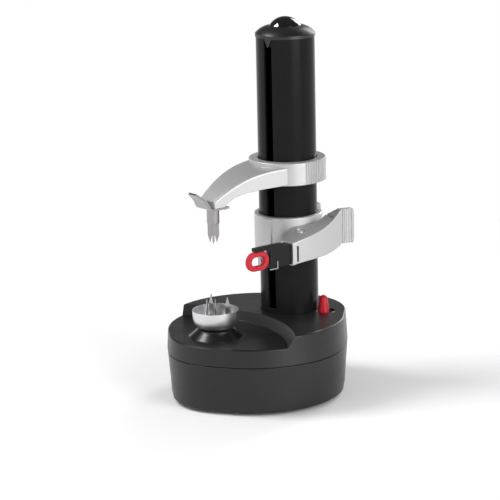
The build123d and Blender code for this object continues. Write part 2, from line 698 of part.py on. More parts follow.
def tooth_half_angle(teeth, radius):
    """Half the angle that one tooth covers at a radius."""
    pitch = pitch_radius(teeth)
    base = pitch * cos(radians(PRESSURE_ANGLE))
    half = (pi / 2 - BACKLASH / MODULE) / teeth
    here = acos(min(1.0, base / radius))
    return half + involute(radians(PRESSURE_ANGLE)) - involute(here)


def gear_outline(teeth, phase):
    """Gear outline with one tooth centred on the phase angle, in radians."""
    tip = pitch_radius(teeth) + ADDENDUM * MODULE
    root = pitch_radius(teeth) - DEDENDUM * MODULE
    base = pitch_radius(teeth) * cos(radians(PRESSURE_ANGLE))
    flank = [max(base, root), pitch_radius(teeth), tip]
    points = []
    for tooth in range(teeth):
        centre = phase + 2 * pi * tooth / teeth
        rising = [(r, centre - tooth_half_angle(teeth, r)) for r in flank]
        falling = [(r, centre + tooth_half_angle(teeth, r)) for r in reversed(flank)]
        foot_in = (root, rising[0][1])
        foot_out = (root, falling[-1][1])
        profile = [foot_in, *rising, *falling, foot_out] if root < base else [*rising, *falling]
        points += [(r * cos(a), r * sin(a)) for r, a in profile]
    return Polygon(*points, align=None)


def gear(teeth, x, y, low, phase=0.0):
    """Spur gear without a bore, standing on a height."""
    return upright(Pos(x, y) * gear_outline(teeth, phase), low, low + GEAR_WIDTH)


def meshing_phase(teeth, other_teeth, other_phase, direction):
    """Phase of a gear that meshes with another one, which lies opposite to direction.

    direction is the angle, in radians, from the other gear's axis to this gear's axis.
    """
    shift = (direction - other_phase) * other_teeth / (2 * pi)
    return direction + pi - (0.5 - shift) * 2 * pi / teeth


def angle_between(x0, y0, x1, y1):
    """Angle in radians of the line from one axis to another."""
    return atan2(y1 - y0, x1 - x0)


SECOND_PHASE = 0.0
SPINDLE_PHASE = meshing_phase(SPINDLE_TEETH, SECOND_SMALL_TEETH, SECOND_PHASE, -pi / 2)
SCREW_PHASE = meshing_phase(SCREW_TEETH, SECOND_SMALL_TEETH, SECOND_PHASE, pi / 2)
FIRST_SMALL_PHASE = meshing_phase(
    FIRST_SMALL_TEETH,
    SECOND_LARGE_TEETH,
    SECOND_PHASE,
    angle_between(0, SECOND_AXIS_Y, FIRST_X, FIRST_Y),
)
PINION_PHASE = meshing_phase(
    PINION_TEETH,
    FIRST_LARGE_TEETH,
    0.0,
    angle_between(FIRST_X, FIRST_Y, MOTOR_X, MOTOR_Y),
)


# ---------------------------------------------------------------- base shells
def tub_cavity():
    """Space inside the tub."""
    inset = tub_inset(TUB_FLOOR_TOP) + BASE_WALL
    return drafted(TUB_FLOOR_TOP, SEAM_HEIGHT, inset, BASE_WALL)


def door_span(margin):
    """Corners of the door's outline with a margin: x0, x1, y0, y1."""
    half = TRAY_HALF_LENGTH + margin
    front = CELL_ROW_CENTRE_Y - TRAY_HALF_WIDTH - margin
    back = DOOR_SCREW_Y + SCREW_HEAD_RADIUS + margin
    return -half, half, front, back


def make_base_tub():
    """Lower casing with its floor, bosses and door opening."""
    outer = drafted(TUB_BOTTOM, SEAM_HEIGHT, TUB_DRAFT, 0.0)
    outer = fillet(outer.faces().sort_by(Axis.Z)[0].edges(), RIM_RADIUS)
    lip = upright(footprint(BASE_WALL / 2 + LIP_GAP), SEAM_HEIGHT, SEAM_HEIGHT + LIP_HEIGHT)
    lip -= upright(footprint(BASE_WALL), SEAM_HEIGHT, SEAM_HEIGHT + LIP_HEIGHT)
    body = (outer - tub_cavity()) + (tub_bosses() & outer) + lip
    head_top = TUB_BOTTOM + SCREW_HEAD_SINK + SCREW_HEAD_HEIGHT
    for x, y in FEET:
        body -= disc(FOOT_RADIUS + DOOR_GAP, TUB_BOTTOM, TUB_BOTTOM + FOOT_SEAT_DEPTH, x, y)
    for x, y in CASE_BOSSES:
        body -= disc(SCREW_HEAD_RADIUS + DOOR_GAP, TUB_BOTTOM, head_top, x, y)
        body -= disc(CASE_SCREW_RADIUS + SCREW_HOLE_GAP, head_top, SEAM_HEIGHT, x, y)
    for x, y in POSTS:
        body -= disc(POST_SCREW_RADIUS + SCREW_HOLE_GAP, TUB_FLOOR_TOP, LOWER_PLATE_BOTTOM, x, y)
    return body - door_opening() - socket_hole()


def tub_bosses():
    """Bosses on the tub's floor for the case, gearbox and door screws."""
    bosses = disc(POST_RADIUS, TUB_FLOOR_TOP, TUB_FLOOR_TOP + DOOR_BOSS_HEIGHT, 0, DOOR_SCREW_Y)
    for x, y in CASE_BOSSES:
        bosses += disc(CASE_BOSS_RADIUS, TUB_FLOOR_TOP, SEAM_HEIGHT, x, y)
    for x, y in POSTS:
        bosses += disc(POST_RADIUS, TUB_FLOOR_TOP, LOWER_PLATE_BOTTOM, x, y)
    return bosses


def door_opening():
    """Opening of the battery compartment, with the door's ledge and its screw hole."""
    opening = block(*door_span(DOOR_LEDGE + DOOR_GAP), TUB_BOTTOM, TUB_BOTTOM + DOOR_THICKNESS)
    half = TRAY_HALF_LENGTH - TRAY_WALL
    reach = TRAY_HALF_WIDTH - TRAY_WALL
    front = CELL_ROW_CENTRE_Y - reach
    back = CELL_ROW_CENTRE_Y + reach
    opening += block(-half, half, front, back, TUB_BOTTOM, TUB_FLOOR_TOP)
    hole = CASE_SCREW_RADIUS + SCREW_HOLE_GAP
    hole_top = TUB_FLOOR_TOP + DOOR_BOSS_HEIGHT
    return opening + disc(hole, TUB_BOTTOM, hole_top, 0, DOOR_SCREW_Y)


def make_base_cover():
    """Upper casing: raised pad, recessed deck and the cone under the cup."""
    low = SEAM_HEIGHT + SEAM_GAP
    outer = drafted(low, PAD_HEIGHT, cover_inset(low), COVER_DRAFT)
    outer -= recess(DECK_HEIGHT, PAD_HEIGHT)
    outer = fillet(rim_edges(outer), RIM_RADIUS)
    cavity = drafted(low, PAD_UNDERSIDE, cover_inset(low) + BASE_WALL, COVER_DRAFT + BASE_WALL)
    cavity -= recess(DECK_UNDERSIDE, PAD_UNDERSIDE, BASE_WALL)
    body = outer - cavity
    body -= upright(footprint(BASE_WALL / 2), low, SEAM_HEIGHT + LIP_HEIGHT + LIP_GAP)
    body += make_cone()
    for x, y in CASE_BOSSES:
        top = DECK_HEIGHT if y < WAIST_CENTRE_Y else PAD_HEIGHT
        body += disc(CASE_BOSS_RADIUS, low, top - BASE_WALL / 2, x, y) & outer
        body -= disc(
            CASE_SCREW_RADIUS + SCREW_HOLE_GAP,
            low,
            min(case_screw_top() + SCREW_HOLE_RESERVE, top - BASE_WALL),
            x,
            y,
        )
    body -= disc(TOWER_RADIUS + TOWER_HOLE_GAP, PAD_UNDERSIDE, PAD_HEIGHT, 0, TOWER_AXIS_Y)
    body -= disc(bush_outer(), DECK_UNDERSIDE, CONE_TOP, 0, FOOD_AXIS_Y)
    body -= switch_well()
    return body


def recess_circles(grow=0.0):
    """Circles of the recess at the deck and at the pad, as x, y and radius."""
    return (
        (0, RECESS_CENTRE_Y, RECESS_RADIUS + grow),
        (RECESS_TOP_SHIFT, RECESS_CENTRE_Y - RECESS_TOP_SETBACK, RECESS_RADIUS + RECESS_FLARE + grow),
    )


def recess(low, high, grow=0.0):
    """Space over the deck; its wall leans back on the side of the lever."""
    circles = zip((low, high), recess_circles(grow))
    return loft([Pos(x, y, z) * Circle(radius) for z, (x, y, radius) in circles], ruled=True)


def rim_edges(solid):
    """Upper edges of the pad and the deck that lie on the outer wall."""
    rims = ShapeList()
    for height, (x, y, radius) in zip((DECK_HEIGHT, PAD_HEIGHT), recess_circles()):
        for edge in solid.edges().filter_by_position(Axis.Z, height, height):
            middle = edge @ 0.5
            if abs(hypot(middle.X - x, middle.Y - y) - radius) > RIM_RADIUS:
                rims.append(edge)
    return rims


def make_cone():
    """Cone that rises from the deck around the food spindle."""
    height = CONE_TOP - DECK_UNDERSIDE
    slope = (CONE_FOOT_RADIUS - CONE_TOP_RADIUS) / CONE_HEIGHT
    foot = CONE_FOOT_RADIUS
    outer = Pos(0, FOOD_AXIS_Y, DECK_HEIGHT) * Cone(foot, CONE_TOP_RADIUS, CONE_HEIGHT, align=UP)
    skirt = disc(foot, DECK_UNDERSIDE, DECK_HEIGHT, 0, FOOD_AXIS_Y)
    inner_top = CONE_TOP_RADIUS - BASE_WALL * slope
    inner_height = height - BASE_WALL
    inner_foot = inner_top + slope * CONE_HEIGHT
    inner = Pos(0, FOOD_AXIS_Y, DECK_UNDERSIDE) * Cone(
        min(inner_foot, foot - BASE_WALL / 2), inner_top, inner_height, align=UP
    )
    stem = disc(bush_outer() + BUSH_WALL, DECK_UNDERSIDE, CONE_TOP, 0, FOOD_AXIS_Y)
    return outer + skirt - inner + stem


def case_screw_top():
    """Height that the case screws reach."""
    return SEAM_HEIGHT + CASE_SCREW_GRIP


def make_rubber_feet():
    """Four feet, pressed into the floor."""
    top = TUB_BOTTOM + FOOT_SEAT_DEPTH
    return [disc(FOOT_RADIUS, 0, top, x, y) for x, y in FEET]


def make_case_screws():
    """Four long screws that hold the cover on the tub."""
    low = TUB_BOTTOM + SCREW_HEAD_SINK + SCREW_HEAD_HEIGHT
    return [
        screw(CASE_SCREW_RADIUS, SCREW_HEAD_RADIUS, low, case_screw_top(), x, y, head_up=False)
        for x, y in CASE_BOSSES
    ]


# ---------------------------------------------------------------- battery compartment
def make_battery_door():
    """Door in the floor, held by one screw."""
    top = TUB_BOTTOM + DOOR_THICKNESS
    door = block(*door_span(DOOR_LEDGE), TUB_BOTTOM, top)
    return door - disc(CASE_SCREW_RADIUS + SCREW_HOLE_GAP, TUB_BOTTOM, top, 0, DOOR_SCREW_Y)


def make_door_screw():
    """Screw of the battery door."""
    top = TUB_FLOOR_TOP + DOOR_BOSS_HEIGHT - SCREW_HOLE_RESERVE
    shank = disc(CASE_SCREW_RADIUS, TUB_BOTTOM, top, 0, DOOR_SCREW_Y)
    return shank + disc(SCREW_HEAD_RADIUS, TUB_BOTTOM - DOOR_THICKNESS, TUB_BOTTOM, 0, DOOR_SCREW_Y)


def make_battery_tray():
    """Box over the cells, open towards the door."""
    half = TRAY_HALF_LENGTH
    reach = TRAY_HALF_WIDTH
    front = CELL_ROW_CENTRE_Y - reach
    back = CELL_ROW_CENTRE_Y + reach
    outer = block(
        -half - TRAY_WALL,
        half + TRAY_WALL,
        front - TRAY_WALL,
        back + TRAY_WALL,
        TUB_FLOOR_TOP,
        TRAY_ROOF + TRAY_WALL,
    )
    return outer - block(-half, half, front, back, TUB_FLOOR_TOP, TRAY_ROOF)


def cell_rows():
    """Each cell's y and the side its button points to."""
    first = CELL_ROW_CENTRE_Y - (CELL_COUNT - 1) * CELL_PITCH / 2
    return [(first + i * CELL_PITCH, 1 if i % 2 == 0 else -1) for i in range(CELL_COUNT)]


def along_x(radius, x0, x1, y, z):
    """Cylinder lying along X."""
    return Pos(x0, y, z) * (Rot(0, 90, 0) * Cylinder(radius, x1 - x0, align=UP))


def make_battery_cell(y, side):
    """One AA cell, its button towards one side."""
    button_end = TRAY_HALF_LENGTH - CONTACT_THICKNESS
    body_end = button_end - CELL_BUTTON_HEIGHT
    z = CELL_AXIS_Z
    body = along_x(CELL_RADIUS, body_end - CELL_LENGTH, body_end, y, z)
    body += along_x(CELL_BUTTON_RADIUS, body_end, button_end, y, z)
    return body if side > 0 else mirror(body, Plane.YZ)


def make_battery_contacts():
    """Contact plates at both ends; some of them bridge two cells."""
    half = TRAY_HALF_LENGTH
    z = CELL_AXIS_Z
    reach = CELL_RADIUS - CONTACT_MARGIN
    rows = [y for y, side in cell_rows()]
    plates = []
    for side, start in ((-1, 0), (1, 1)):
        groups = [rows[:start]] + [rows[i : i + 2] for i in range(start, len(rows), 2)]
        for group in groups:
            if group:
                x0, x1 = sorted((side * half, side * (half - CONTACT_THICKNESS)))
                y0 = group[0] - reach
                y1 = group[-1] + reach
                plates.append(block(x0, x1, y0, y1, z - reach, z + reach))
    return plates


def make_battery_springs():
    """Coil spring at the flat end of each cell."""
    start = TRAY_HALF_LENGTH - CONTACT_THICKNESS - CONTACT_SPRING_LENGTH
    springs = []
    for y, side in cell_rows():
        spring = coil(
            CONTACT_SPRING_RADIUS, CONTACT_WIRE_RADIUS, CONTACT_SPRING_LENGTH,
            CONTACT_SPRING_TURNS, 0, 0, 0,
        )
        spring = Pos(start, y, CELL_AXIS_Z) * (Rot(0, 90, 0) * spring)
        springs.append(spring if side < 0 else mirror(spring, Plane.YZ))
    return springs


# ---------------------------------------------------------------- gearbox
def plate_outline():
    """Outline of both gearbox plates."""
    circles = [(x, y, POST_RADIUS + PLATE_MARGIN) for x, y in POSTS]
    circles.append((MOTOR_X, MOTOR_Y, MOTOR_RADIUS + PLATE_MARGIN))
    circles.append((0, FOOD_AXIS_Y, bush_outer() + PLATE_MARGIN))
    circles.append((0, TOWER_AXIS_Y, TOWER_FLANGE_RADIUS))
    return wrap(circles)


def bush_outer():
    """Outer radius of the spindle's bushes."""
    return SPINDLE_RADIUS + RUNNING_GAP + BUSH_WALL


def screw_bush_outer():
    """Outer radius of the lead screw's lower bush."""
    return THREAD_CORE_RADIUS + RUNNING_GAP + BUSH_WALL


def make_lower_plate():
    """Lower gearbox plate, with the motor passing through it."""
    low = LOWER_PLATE_BOTTOM
    high = low + LOWER_PLATE_THICKNESS
    plate = upright(plate_outline(), low, high)
    for x, y in POSTS:
        plate -= disc(POST_SCREW_RADIUS + SCREW_HOLE_GAP, low, high, x, y)
    plate -= disc(MOTOR_RADIUS + CELL_GAP, low, high, MOTOR_X, MOTOR_Y)
    plate -= disc(bush_outer(), low, high, 0, FOOD_AXIS_Y)
    plate -= disc(screw_bush_outer(), low, high, 0, TOWER_AXIS_Y)
    plate -= disc(AXLE_RADIUS, low, high, 0, SECOND_AXIS_Y)
    plate -= disc(AXLE_RADIUS, low, high, FIRST_X, FIRST_Y)
    return plate


def make_upper_plate():
    """Upper gearbox plate, which carries the motor and the tower."""
    low = UPPER_PLATE_BOTTOM
    high = UPPER_PLATE_TOP
    plate = upright(plate_outline(), low, high)
    for x, y in POSTS:
        plate -= disc(POST_SCREW_RADIUS + SCREW_HOLE_GAP, low, high, x, y)
    plate -= disc(MOTOR_SPIGOT_RADIUS + SCREW_HOLE_GAP, low, high, MOTOR_X, MOTOR_Y)
    plate -= disc(bush_outer(), low, high, 0, FOOD_AXIS_Y)
    plate -= disc(THREAD_CORE_RADIUS + LAYER_GAP, low, high, 0, TOWER_AXIS_Y)
    plate -= disc(AXLE_RADIUS, low, high, 0, SECOND_AXIS_Y)
    sleeve = pitch_radius(FIRST_SMALL_TEETH) + ADDENDUM * MODULE + CELL_GAP
    plate -= disc(sleeve, low, high, FIRST_X, FIRST_Y)
    for x, y in motor_screw_places():
        plate -= disc(MOTOR_SCREW_RADIUS + SCREW_HOLE_GAP, low, high, x, y)
    for x, y in tower_screw_places():
        plate -= disc(MOTOR_SCREW_RADIUS + SCREW_HOLE_GAP, low, high, x, y)
    return plate


def make_gearbox_posts():
    """Spacers between the two plates."""
    low = LOWER_PLATE_TOP
    hole = POST_SCREW_RADIUS + SCREW_HOLE_GAP
    return [tube(POST_RADIUS, hole, low, UPPER_PLATE_BOTTOM, x, y) for x, y in POSTS]


def make_gearbox_screws():
    """Long screws through both plates into the tub's bosses."""
    low = TUB_FLOOR_TOP + SCREW_HOLE_RESERVE
    return [
        screw(POST_SCREW_RADIUS, SCREW_HEAD_RADIUS, low, UPPER_PLATE_TOP, x, y) for x, y in POSTS
    ]


def motor_screw_places():
    """The two motor screws, square to the line from the motor to the first gear."""
    angle = angle_between(MOTOR_X, MOTOR_Y, FIRST_X, FIRST_Y) + pi / 2
    dx = MOTOR_SCREW_OFFSET * cos(angle)
    dy = MOTOR_SCREW_OFFSET * sin(angle)
    return [(MOTOR_X + side * dx, MOTOR_Y + side * dy) for side in (-1, 1)]


def make_drive_motor():
    """Motor can, hanging from the upper plate with its shaft up."""
    low = UPPER_PLATE_BOTTOM - MOTOR_LENGTH
    can = disc(MOTOR_RADIUS, low, UPPER_PLATE_BOTTOM, MOTOR_X, MOTOR_Y)
    spigot_top = UPPER_PLATE_BOTTOM + MOTOR_SPIGOT_HEIGHT
    can += disc(MOTOR_SPIGOT_RADIUS, UPPER_PLATE_BOTTOM, spigot_top, MOTOR_X, MOTOR_Y)
    can += disc(MOTOR_END_BELL_RADIUS, low - MOTOR_END_BELL_HEIGHT, low, MOTOR_X, MOTOR_Y)
    shaft_low = UPPER_PLATE_BOTTOM - MOTOR_LENGTH / 2
    can -= disc(MOTOR_SHAFT_RADIUS + RUNNING_GAP, shaft_low, spigot_top, MOTOR_X, MOTOR_Y)
    for x, y in motor_screw_places():
        can -= disc(
            MOTOR_SCREW_RADIUS + SCREW_HOLE_GAP,
            UPPER_PLATE_BOTTOM - MOTOR_SCREW_DEPTH - SCREW_HOLE_GAP,
            UPPER_PLATE_BOTTOM,
            x,
            y,
        )
    return can


def make_motor_screws():
    """Screws through the upper plate into the motor's face."""
    low = UPPER_PLATE_BOTTOM - MOTOR_SCREW_DEPTH
    return [
        screw(MOTOR_SCREW_RADIUS, SMALL_HEAD_RADIUS, low, UPPER_PLATE_TOP, x, y)
        for x, y in motor_screw_places()
    ]


def make_motor_pinion():
    """Pinion on the motor's shaft."""
    teeth = gear(PINION_TEETH, MOTOR_X, MOTOR_Y, LAYER_C, PINION_PHASE)
    low = UPPER_PLATE_BOTTOM - MOTOR_LENGTH / 2 + RUNNING_GAP
    return teeth + disc(MOTOR_SHAFT_RADIUS, low, LAYER_C + GEAR_WIDTH, MOTOR_X, MOTOR_Y)


def make_first_gear():
    """First compound gear: small below the upper plate, large above it."""
    small = gear(FIRST_SMALL_TEETH, FIRST_X, FIRST_Y, LAYER_B, FIRST_SMALL_PHASE)
    large = gear(FIRST_LARGE_TEETH, FIRST_X, FIRST_Y, LAYER_C)
    hub_radius = pitch_radius(FIRST_SMALL_TEETH) - DEDENDUM * MODULE
    hub = disc(hub_radius, LAYER_B, LAYER_C + GEAR_WIDTH, FIRST_X, FIRST_Y)
    bore = AXLE_RADIUS + RUNNING_GAP
    return small + large + hub - disc(bore, LAYER_B, LAYER_C + GEAR_WIDTH, FIRST_X, FIRST_Y)


def make_second_gear():
    """Second compound gear: the small one drives both spindle and lead screw."""
    small = gear(SECOND_SMALL_TEETH, 0, SECOND_AXIS_Y, LAYER_A, SECOND_PHASE)
    large = gear(SECOND_LARGE_TEETH, 0, SECOND_AXIS_Y, LAYER_B, SECOND_PHASE)
    hub_radius = AXLE_RADIUS + HUB_WALL
    hub = disc(hub_radius, LAYER_A, LAYER_B + GEAR_WIDTH, 0, SECOND_AXIS_Y)
    bore = AXLE_RADIUS + RUNNING_GAP
    return small + large + hub - disc(bore, LAYER_A, LAYER_B + GEAR_WIDTH, 0, SECOND_AXIS_Y)


def make_first_axle():
    """Fixed axle of the first gear."""
    return disc(AXLE_RADIUS, LOWER_PLATE_BOTTOM, AXLE_TOP, FIRST_X, FIRST_Y)


def make_second_axle():
    """Fixed axle of the second gear, held in both plates."""
    return disc(AXLE_RADIUS, LOWER_PLATE_BOTTOM, UPPER_PLATE_TOP, 0, SECOND_AXIS_Y)


def make_axle_clip():
    """Clip that keeps the first gear on its axle."""
    low = LAYER_C + GEAR_WIDTH + LAYER_GAP / 2
    return tube(CLIP_RADIUS, AXLE_RADIUS, low, low + CLIP_THICKNESS, FIRST_X, FIRST_Y)


# ---------------------------------------------------------------- food spindle
def make_spindle_gear():
    """Gear on the food spindle."""
    body = gear(SPINDLE_TEETH, 0, FOOD_AXIS_Y, LAYER_A, SPINDLE_PHASE)
    return body - disc(SPINDLE_RADIUS, LAYER_A, LAYER_A + GEAR_WIDTH, 0, FOOD_AXIS_Y)


def make_food_spindle():
    """Steel shaft from the lower bush up into the cup."""
    return disc(SPINDLE_RADIUS, LOWER_PLATE_BOTTOM, CUP_BOTTOM + CUP_FLOOR, 0, FOOD_AXIS_Y)


def make_spindle_bushes():
    """Bushes of the food spindle: in both plates and in the cone."""
    bore = SPINDLE_RADIUS + RUNNING_GAP
    spans = [
        (LOWER_PLATE_BOTTOM, LOWER_PLATE_TOP),
        (UPPER_PLATE_BOTTOM, UPPER_PLATE_TOP),
        (DECK_UNDERSIDE, CONE_TOP),
    ]
    return [tube(bush_outer(), bore, low, high, 0, FOOD_AXIS_Y) for low, high in spans]


def cup_profile(inset):
    """Half section of the cup, drawn in by a wall."""
    low = CUP_BOTTOM + (CUP_FLOOR if inset else 0.0)
    high = CUP_BOTTOM + CUP_HEIGHT
    foot = CUP_FOOT_RADIUS - inset
    rim = CUP_RIM_RADIUS - inset
    shoulder_r = CUP_FOOT_RADIUS + CUP_SHOULDER_SHARE * (CUP_RIM_RADIUS - CUP_FOOT_RADIUS) - inset
    shoulder_z = low + (high - low) * CUP_SHOULDER_RISE
    wall = Spline((foot, low), (shoulder_r, shoulder_z), (rim, high), tangents=((1, 0.25), (0.04, 1)))
    lines = [Line((0, high), (0, low)), Line((0, low), (foot, low)), wall, Line((rim, high), (0, high))]
    return make_face(Curve() + lines)


def make_food_cup():
    """Cup that the food stands in."""
    outer = revolve(Plane.XZ * cup_profile(0.0), Axis.Z)
    inner = revolve(Plane.XZ * cup_profile(CUP_WALL), Axis.Z)
    cup = Pos(0, FOOD_AXIS_Y, 0) * (outer - inner)
    return cup - disc(SPINDLE_RADIUS, CUP_BOTTOM, CUP_BOTTOM + CUP_FLOOR, 0, FOOD_AXIS_Y)


def pointed_blade(width, thickness, length):
    """Flat prong with a pointed end, standing on the origin."""
    outline = Polygon(
        (-width / 2, 0),
        (width / 2, 0),
        (width / 2, length * PRONG_POINT_SHARE),
        (0, length),
        (-width / 2, length * PRONG_POINT_SHARE),
        align=None,
    )
    return Pos(0, thickness / 2, 0) * extrude(Plane.XZ * outline, amount=thickness)


def make_cup_prongs():
    """Three flat prongs round the cup's floor and one spike in the middle."""
    floor = CUP_BOTTOM + CUP_FLOOR
    prongs = []
    for i in range(CUP_PRONG_COUNT):
        angle = CUP_PRONG_ANGLE + 360 * i / CUP_PRONG_COUNT
        prong = pointed_blade(CUP_PRONG_WIDTH, CUP_PRONG_THICKNESS, CUP_PRONG_HEIGHT)
        place = Pos(0, FOOD_AXIS_Y, floor) * Rot(0, 0, angle)
        prongs.append(place * (Pos(cup_prong_circle(), 0, 0) * (Rot(0, 0, CUP_PRONG_TWIST) * prong)))
    spike = Cone(CUP_SPIKE_RADIUS, CUP_SPIKE_TIP_RADIUS, CUP_SPIKE_HEIGHT, align=UP)
    prongs.append(Pos(0, FOOD_AXIS_Y, floor) * spike)
    return prongs


def cup_prong_circle():
    """Radius at which the cup's prongs stand, inside the foot of its wall."""
    return min(CUP_PRONG_CIRCLE, CUP_FOOT_RADIUS - CUP_WALL) - CUP_PRONG_WIDTH / 2


# ---------------------------------------------------------------- tower
def tower_screw_places():
    """Screws round the tower's flange."""
    radius = (TOWER_RADIUS + TOWER_FLANGE_RADIUS) / 2
    angles = [45 + 360 * i / TOWER_SCREW_COUNT for i in range(TOWER_SCREW_COUNT)]
    return [
        (radius * cos(radians(a)), TOWER_AXIS_Y + radius * sin(radians(a))) for a in angles
    ]


def radial_block(inner, outer, width, low, high, angle):
    """Block that points away from the tower's axis at an angle in degrees."""
    body = block(inner, outer, -width / 2, width / 2, low, high)
    return Pos(0, TOWER_AXIS_Y, 0) * (Rot(0, 0, angle) * body)


def tower_bead(low):
    """Bead round the tower's foot."""
    return disc(TOWER_RADIUS + TOWER_BEAD_WIDTH, low, low + TOWER_BEAD_HEIGHT, 0, TOWER_AXIS_Y)


def make_tower_tube():
    """Slotted tube with a foot bead, which guides the arm and the carriage."""
    low = UPPER_PLATE_TOP
    body = disc(TOWER_RADIUS, low, TOWER_TOP, 0, TOWER_AXIS_Y) + tower_bead(low)
    body -= disc(TOWER_BORE, low, TOWER_TOP, 0, TOWER_AXIS_Y)
    inner = TOWER_BORE - TOWER_WALL
    outer = TOWER_RADIUS + TOWER_WALL
    return body - radial_block(inner, outer, SLOT_WIDTH, SLOT_BOTTOM, TOWER_TOP, SLOT_ANGLE)


def make_tower_flange():
    """Ring that clamps the tower's foot bead on the upper plate."""
    low = UPPER_PLATE_TOP
    high = low + TOWER_FLANGE_THICKNESS
    body = tube(TOWER_FLANGE_RADIUS, TOWER_RADIUS, low, high, 0, TOWER_AXIS_Y) - tower_bead(low)
    for x, y in tower_screw_places():
        body -= disc(MOTOR_SCREW_RADIUS + SCREW_HOLE_GAP, low, high, x, y)
    return body


def make_tower_screws():
    """Screws that hold the clamp ring on the upper plate."""
    low = UPPER_PLATE_BOTTOM
    high = UPPER_PLATE_TOP + TOWER_FLANGE_THICKNESS
    return [
        screw(MOTOR_SCREW_RADIUS, SMALL_HEAD_RADIUS, low, high, x, y)
        for x, y in tower_screw_places()
    ]


def make_tower_cap():
    """Cap of the tower, with a plug that fits the tube."""
    crown_foot = DOME_RADIUS + DOME_MARGIN
    rim = Line((CAP_RADIUS, TOWER_TOP), (CAP_RADIUS, CAP_RIM_TOP))
    middle_radius = (CAP_RADIUS + crown_foot) / 2 + CAP_CROWN_BULGE
    middle = (middle_radius, (CAP_RIM_TOP + CAP_TOP) / 2 + CAP_CROWN_BULGE)
    crown = ThreePointArc((CAP_RADIUS, CAP_RIM_TOP), middle, (crown_foot, CAP_TOP))
    rest = Polyline((crown_foot, CAP_TOP), (0, CAP_TOP), (0, TOWER_TOP), (CAP_RADIUS, TOWER_TOP))
    section = Plane.XZ * make_face(Curve() + [rim, crown, rest])
    body = Pos(0, TOWER_AXIS_Y, 0) * revolve(section, Axis.Z)
    plug_radius = TOWER_BORE - CAP_PLUG_GAP
    body += disc(plug_radius, TOWER_TOP - CAP_PLUG_DEPTH, TOWER_TOP, 0, TOWER_AXIS_Y)
    body += cap_tongue()
    bush_room = SCREW_TOP + JOURNAL_END_GAP
    body -= disc(top_bush_outer(), TOWER_TOP - CAP_PLUG_DEPTH, bush_room, 0, TOWER_AXIS_Y)
    stem_low = CAP_TOP - DOME_STEM_LENGTH - DOME_STEM_GAP
    return body - disc(DOME_STEM_RADIUS, stem_low, CAP_TOP, 0, TOWER_AXIS_Y)


def cap_tongue():
    """Wedge of the cap that closes the top of the tower's slot."""
    inner = TOWER_BORE - TOWER_WALL
    outer = TOWER_RADIUS - CAP_TONGUE_INSET
    half_top = SLOT_WIDTH / 2 - CAP_PLUG_GAP
    half_end = CAP_TONGUE_END_WIDTH / 2
    low = TOWER_TOP - CAP_TONGUE_LENGTH
    outline = Polygon(
        (-half_top, TOWER_TOP), (-half_end, low), (half_end, low), (half_top, TOWER_TOP), align=None
    )
    plane = Plane(origin=(inner, 0, 0), x_dir=(0, 1, 0), z_dir=(1, 0, 0))
    wedge = extrude(plane * outline, amount=outer - inner)
    return Pos(0, TOWER_AXIS_Y, 0) * (Rot(0, 0, SLOT_ANGLE) * wedge)


def top_bush_outer():
    """Outer radius of the lead screw's upper bush."""
    return JOURNAL_RADIUS + RUNNING_GAP + BUSH_WALL


def make_top_dome():
    """Domed button on top of the cap."""
    curve = (DOME_RADIUS**2 + DOME_HEIGHT**2) / (2 * DOME_HEIGHT)
    ball = Pos(0, TOWER_AXIS_Y, CAP_TOP + DOME_HEIGHT - curve) * Sphere(curve)
    dome = ball & disc(2 * DOME_RADIUS, CAP_TOP, CAP_TOP + 2 * DOME_HEIGHT, 0, TOWER_AXIS_Y)
    return dome + disc(DOME_STEM_RADIUS, CAP_TOP - DOME_STEM_LENGTH, CAP_TOP, 0, TOWER_AXIS_Y)


# ---------------------------------------------------------------- lead screw
def thread_phase():
    """Turn of the thread, in degrees, that puts a groove before the follower's pin."""
    groove = (KEY_CENTRE_Z - THREAD_BOTTOM - THREAD_LEAD / 2) / THREAD_LEAD
    return SLOT_ANGLE - 360 * groove


def make_lead_screw():
    """Screw with a coarse right-hand thread and a journal at each end."""
    helix = Helix(THREAD_LEAD, THREAD_TURNS * THREAD_LEAD, THREAD_CORE_RADIUS - THREAD_SINK)
    depth = THREAD_OUTER_RADIUS - THREAD_CORE_RADIUS + THREAD_SINK
    root = THREAD_ROOT_WIDTH / 2
    crest = THREAD_CREST_WIDTH / 2
    outline = Polygon((0, -root), (depth, -crest), (depth, crest), (0, root), align=None)
    section = Plane(origin=helix @ 0, x_dir=(1, 0, 0), z_dir=helix % 0) * outline
    ridge = Pos(0, 0, THREAD_BOTTOM) * sweep(section, path=helix, is_frenet=True)
    core = disc(THREAD_CORE_RADIUS, LOWER_PLATE_BOTTOM, SCREW_SHOULDER)
    core += disc(JOURNAL_RADIUS, SCREW_SHOULDER, SCREW_TOP)
    return Pos(0, TOWER_AXIS_Y, 0) * (Rot(0, 0, thread_phase()) * (core + ridge))


def make_screw_gear():
    """Large gear on the lead screw."""
    body = gear(SCREW_TEETH, 0, TOWER_AXIS_Y, LAYER_A, SCREW_PHASE)
    hub = THREAD_CORE_RADIUS + HUB_WALL
    body += disc(hub, LAYER_A, LAYER_B + GEAR_WIDTH, 0, TOWER_AXIS_Y)
    return body - disc(THREAD_CORE_RADIUS, LAYER_A, LAYER_B + GEAR_WIDTH, 0, TOWER_AXIS_Y)


def make_screw_bush():
    """Lower bush of the lead screw."""
    low = LOWER_PLATE_BOTTOM
    high = low + LOWER_PLATE_THICKNESS
    return tube(screw_bush_outer(), THREAD_CORE_RADIUS + RUNNING_GAP, low, high, 0, TOWER_AXIS_Y)


def make_top_bush():
    """Upper bush of the lead screw, in the cap."""
    low = TOWER_TOP - CAP_PLUG_DEPTH
    return tube(top_bush_outer(), JOURNAL_RADIUS + RUNNING_GAP, low, SCREW_TOP, 0, TOWER_AXIS_Y)


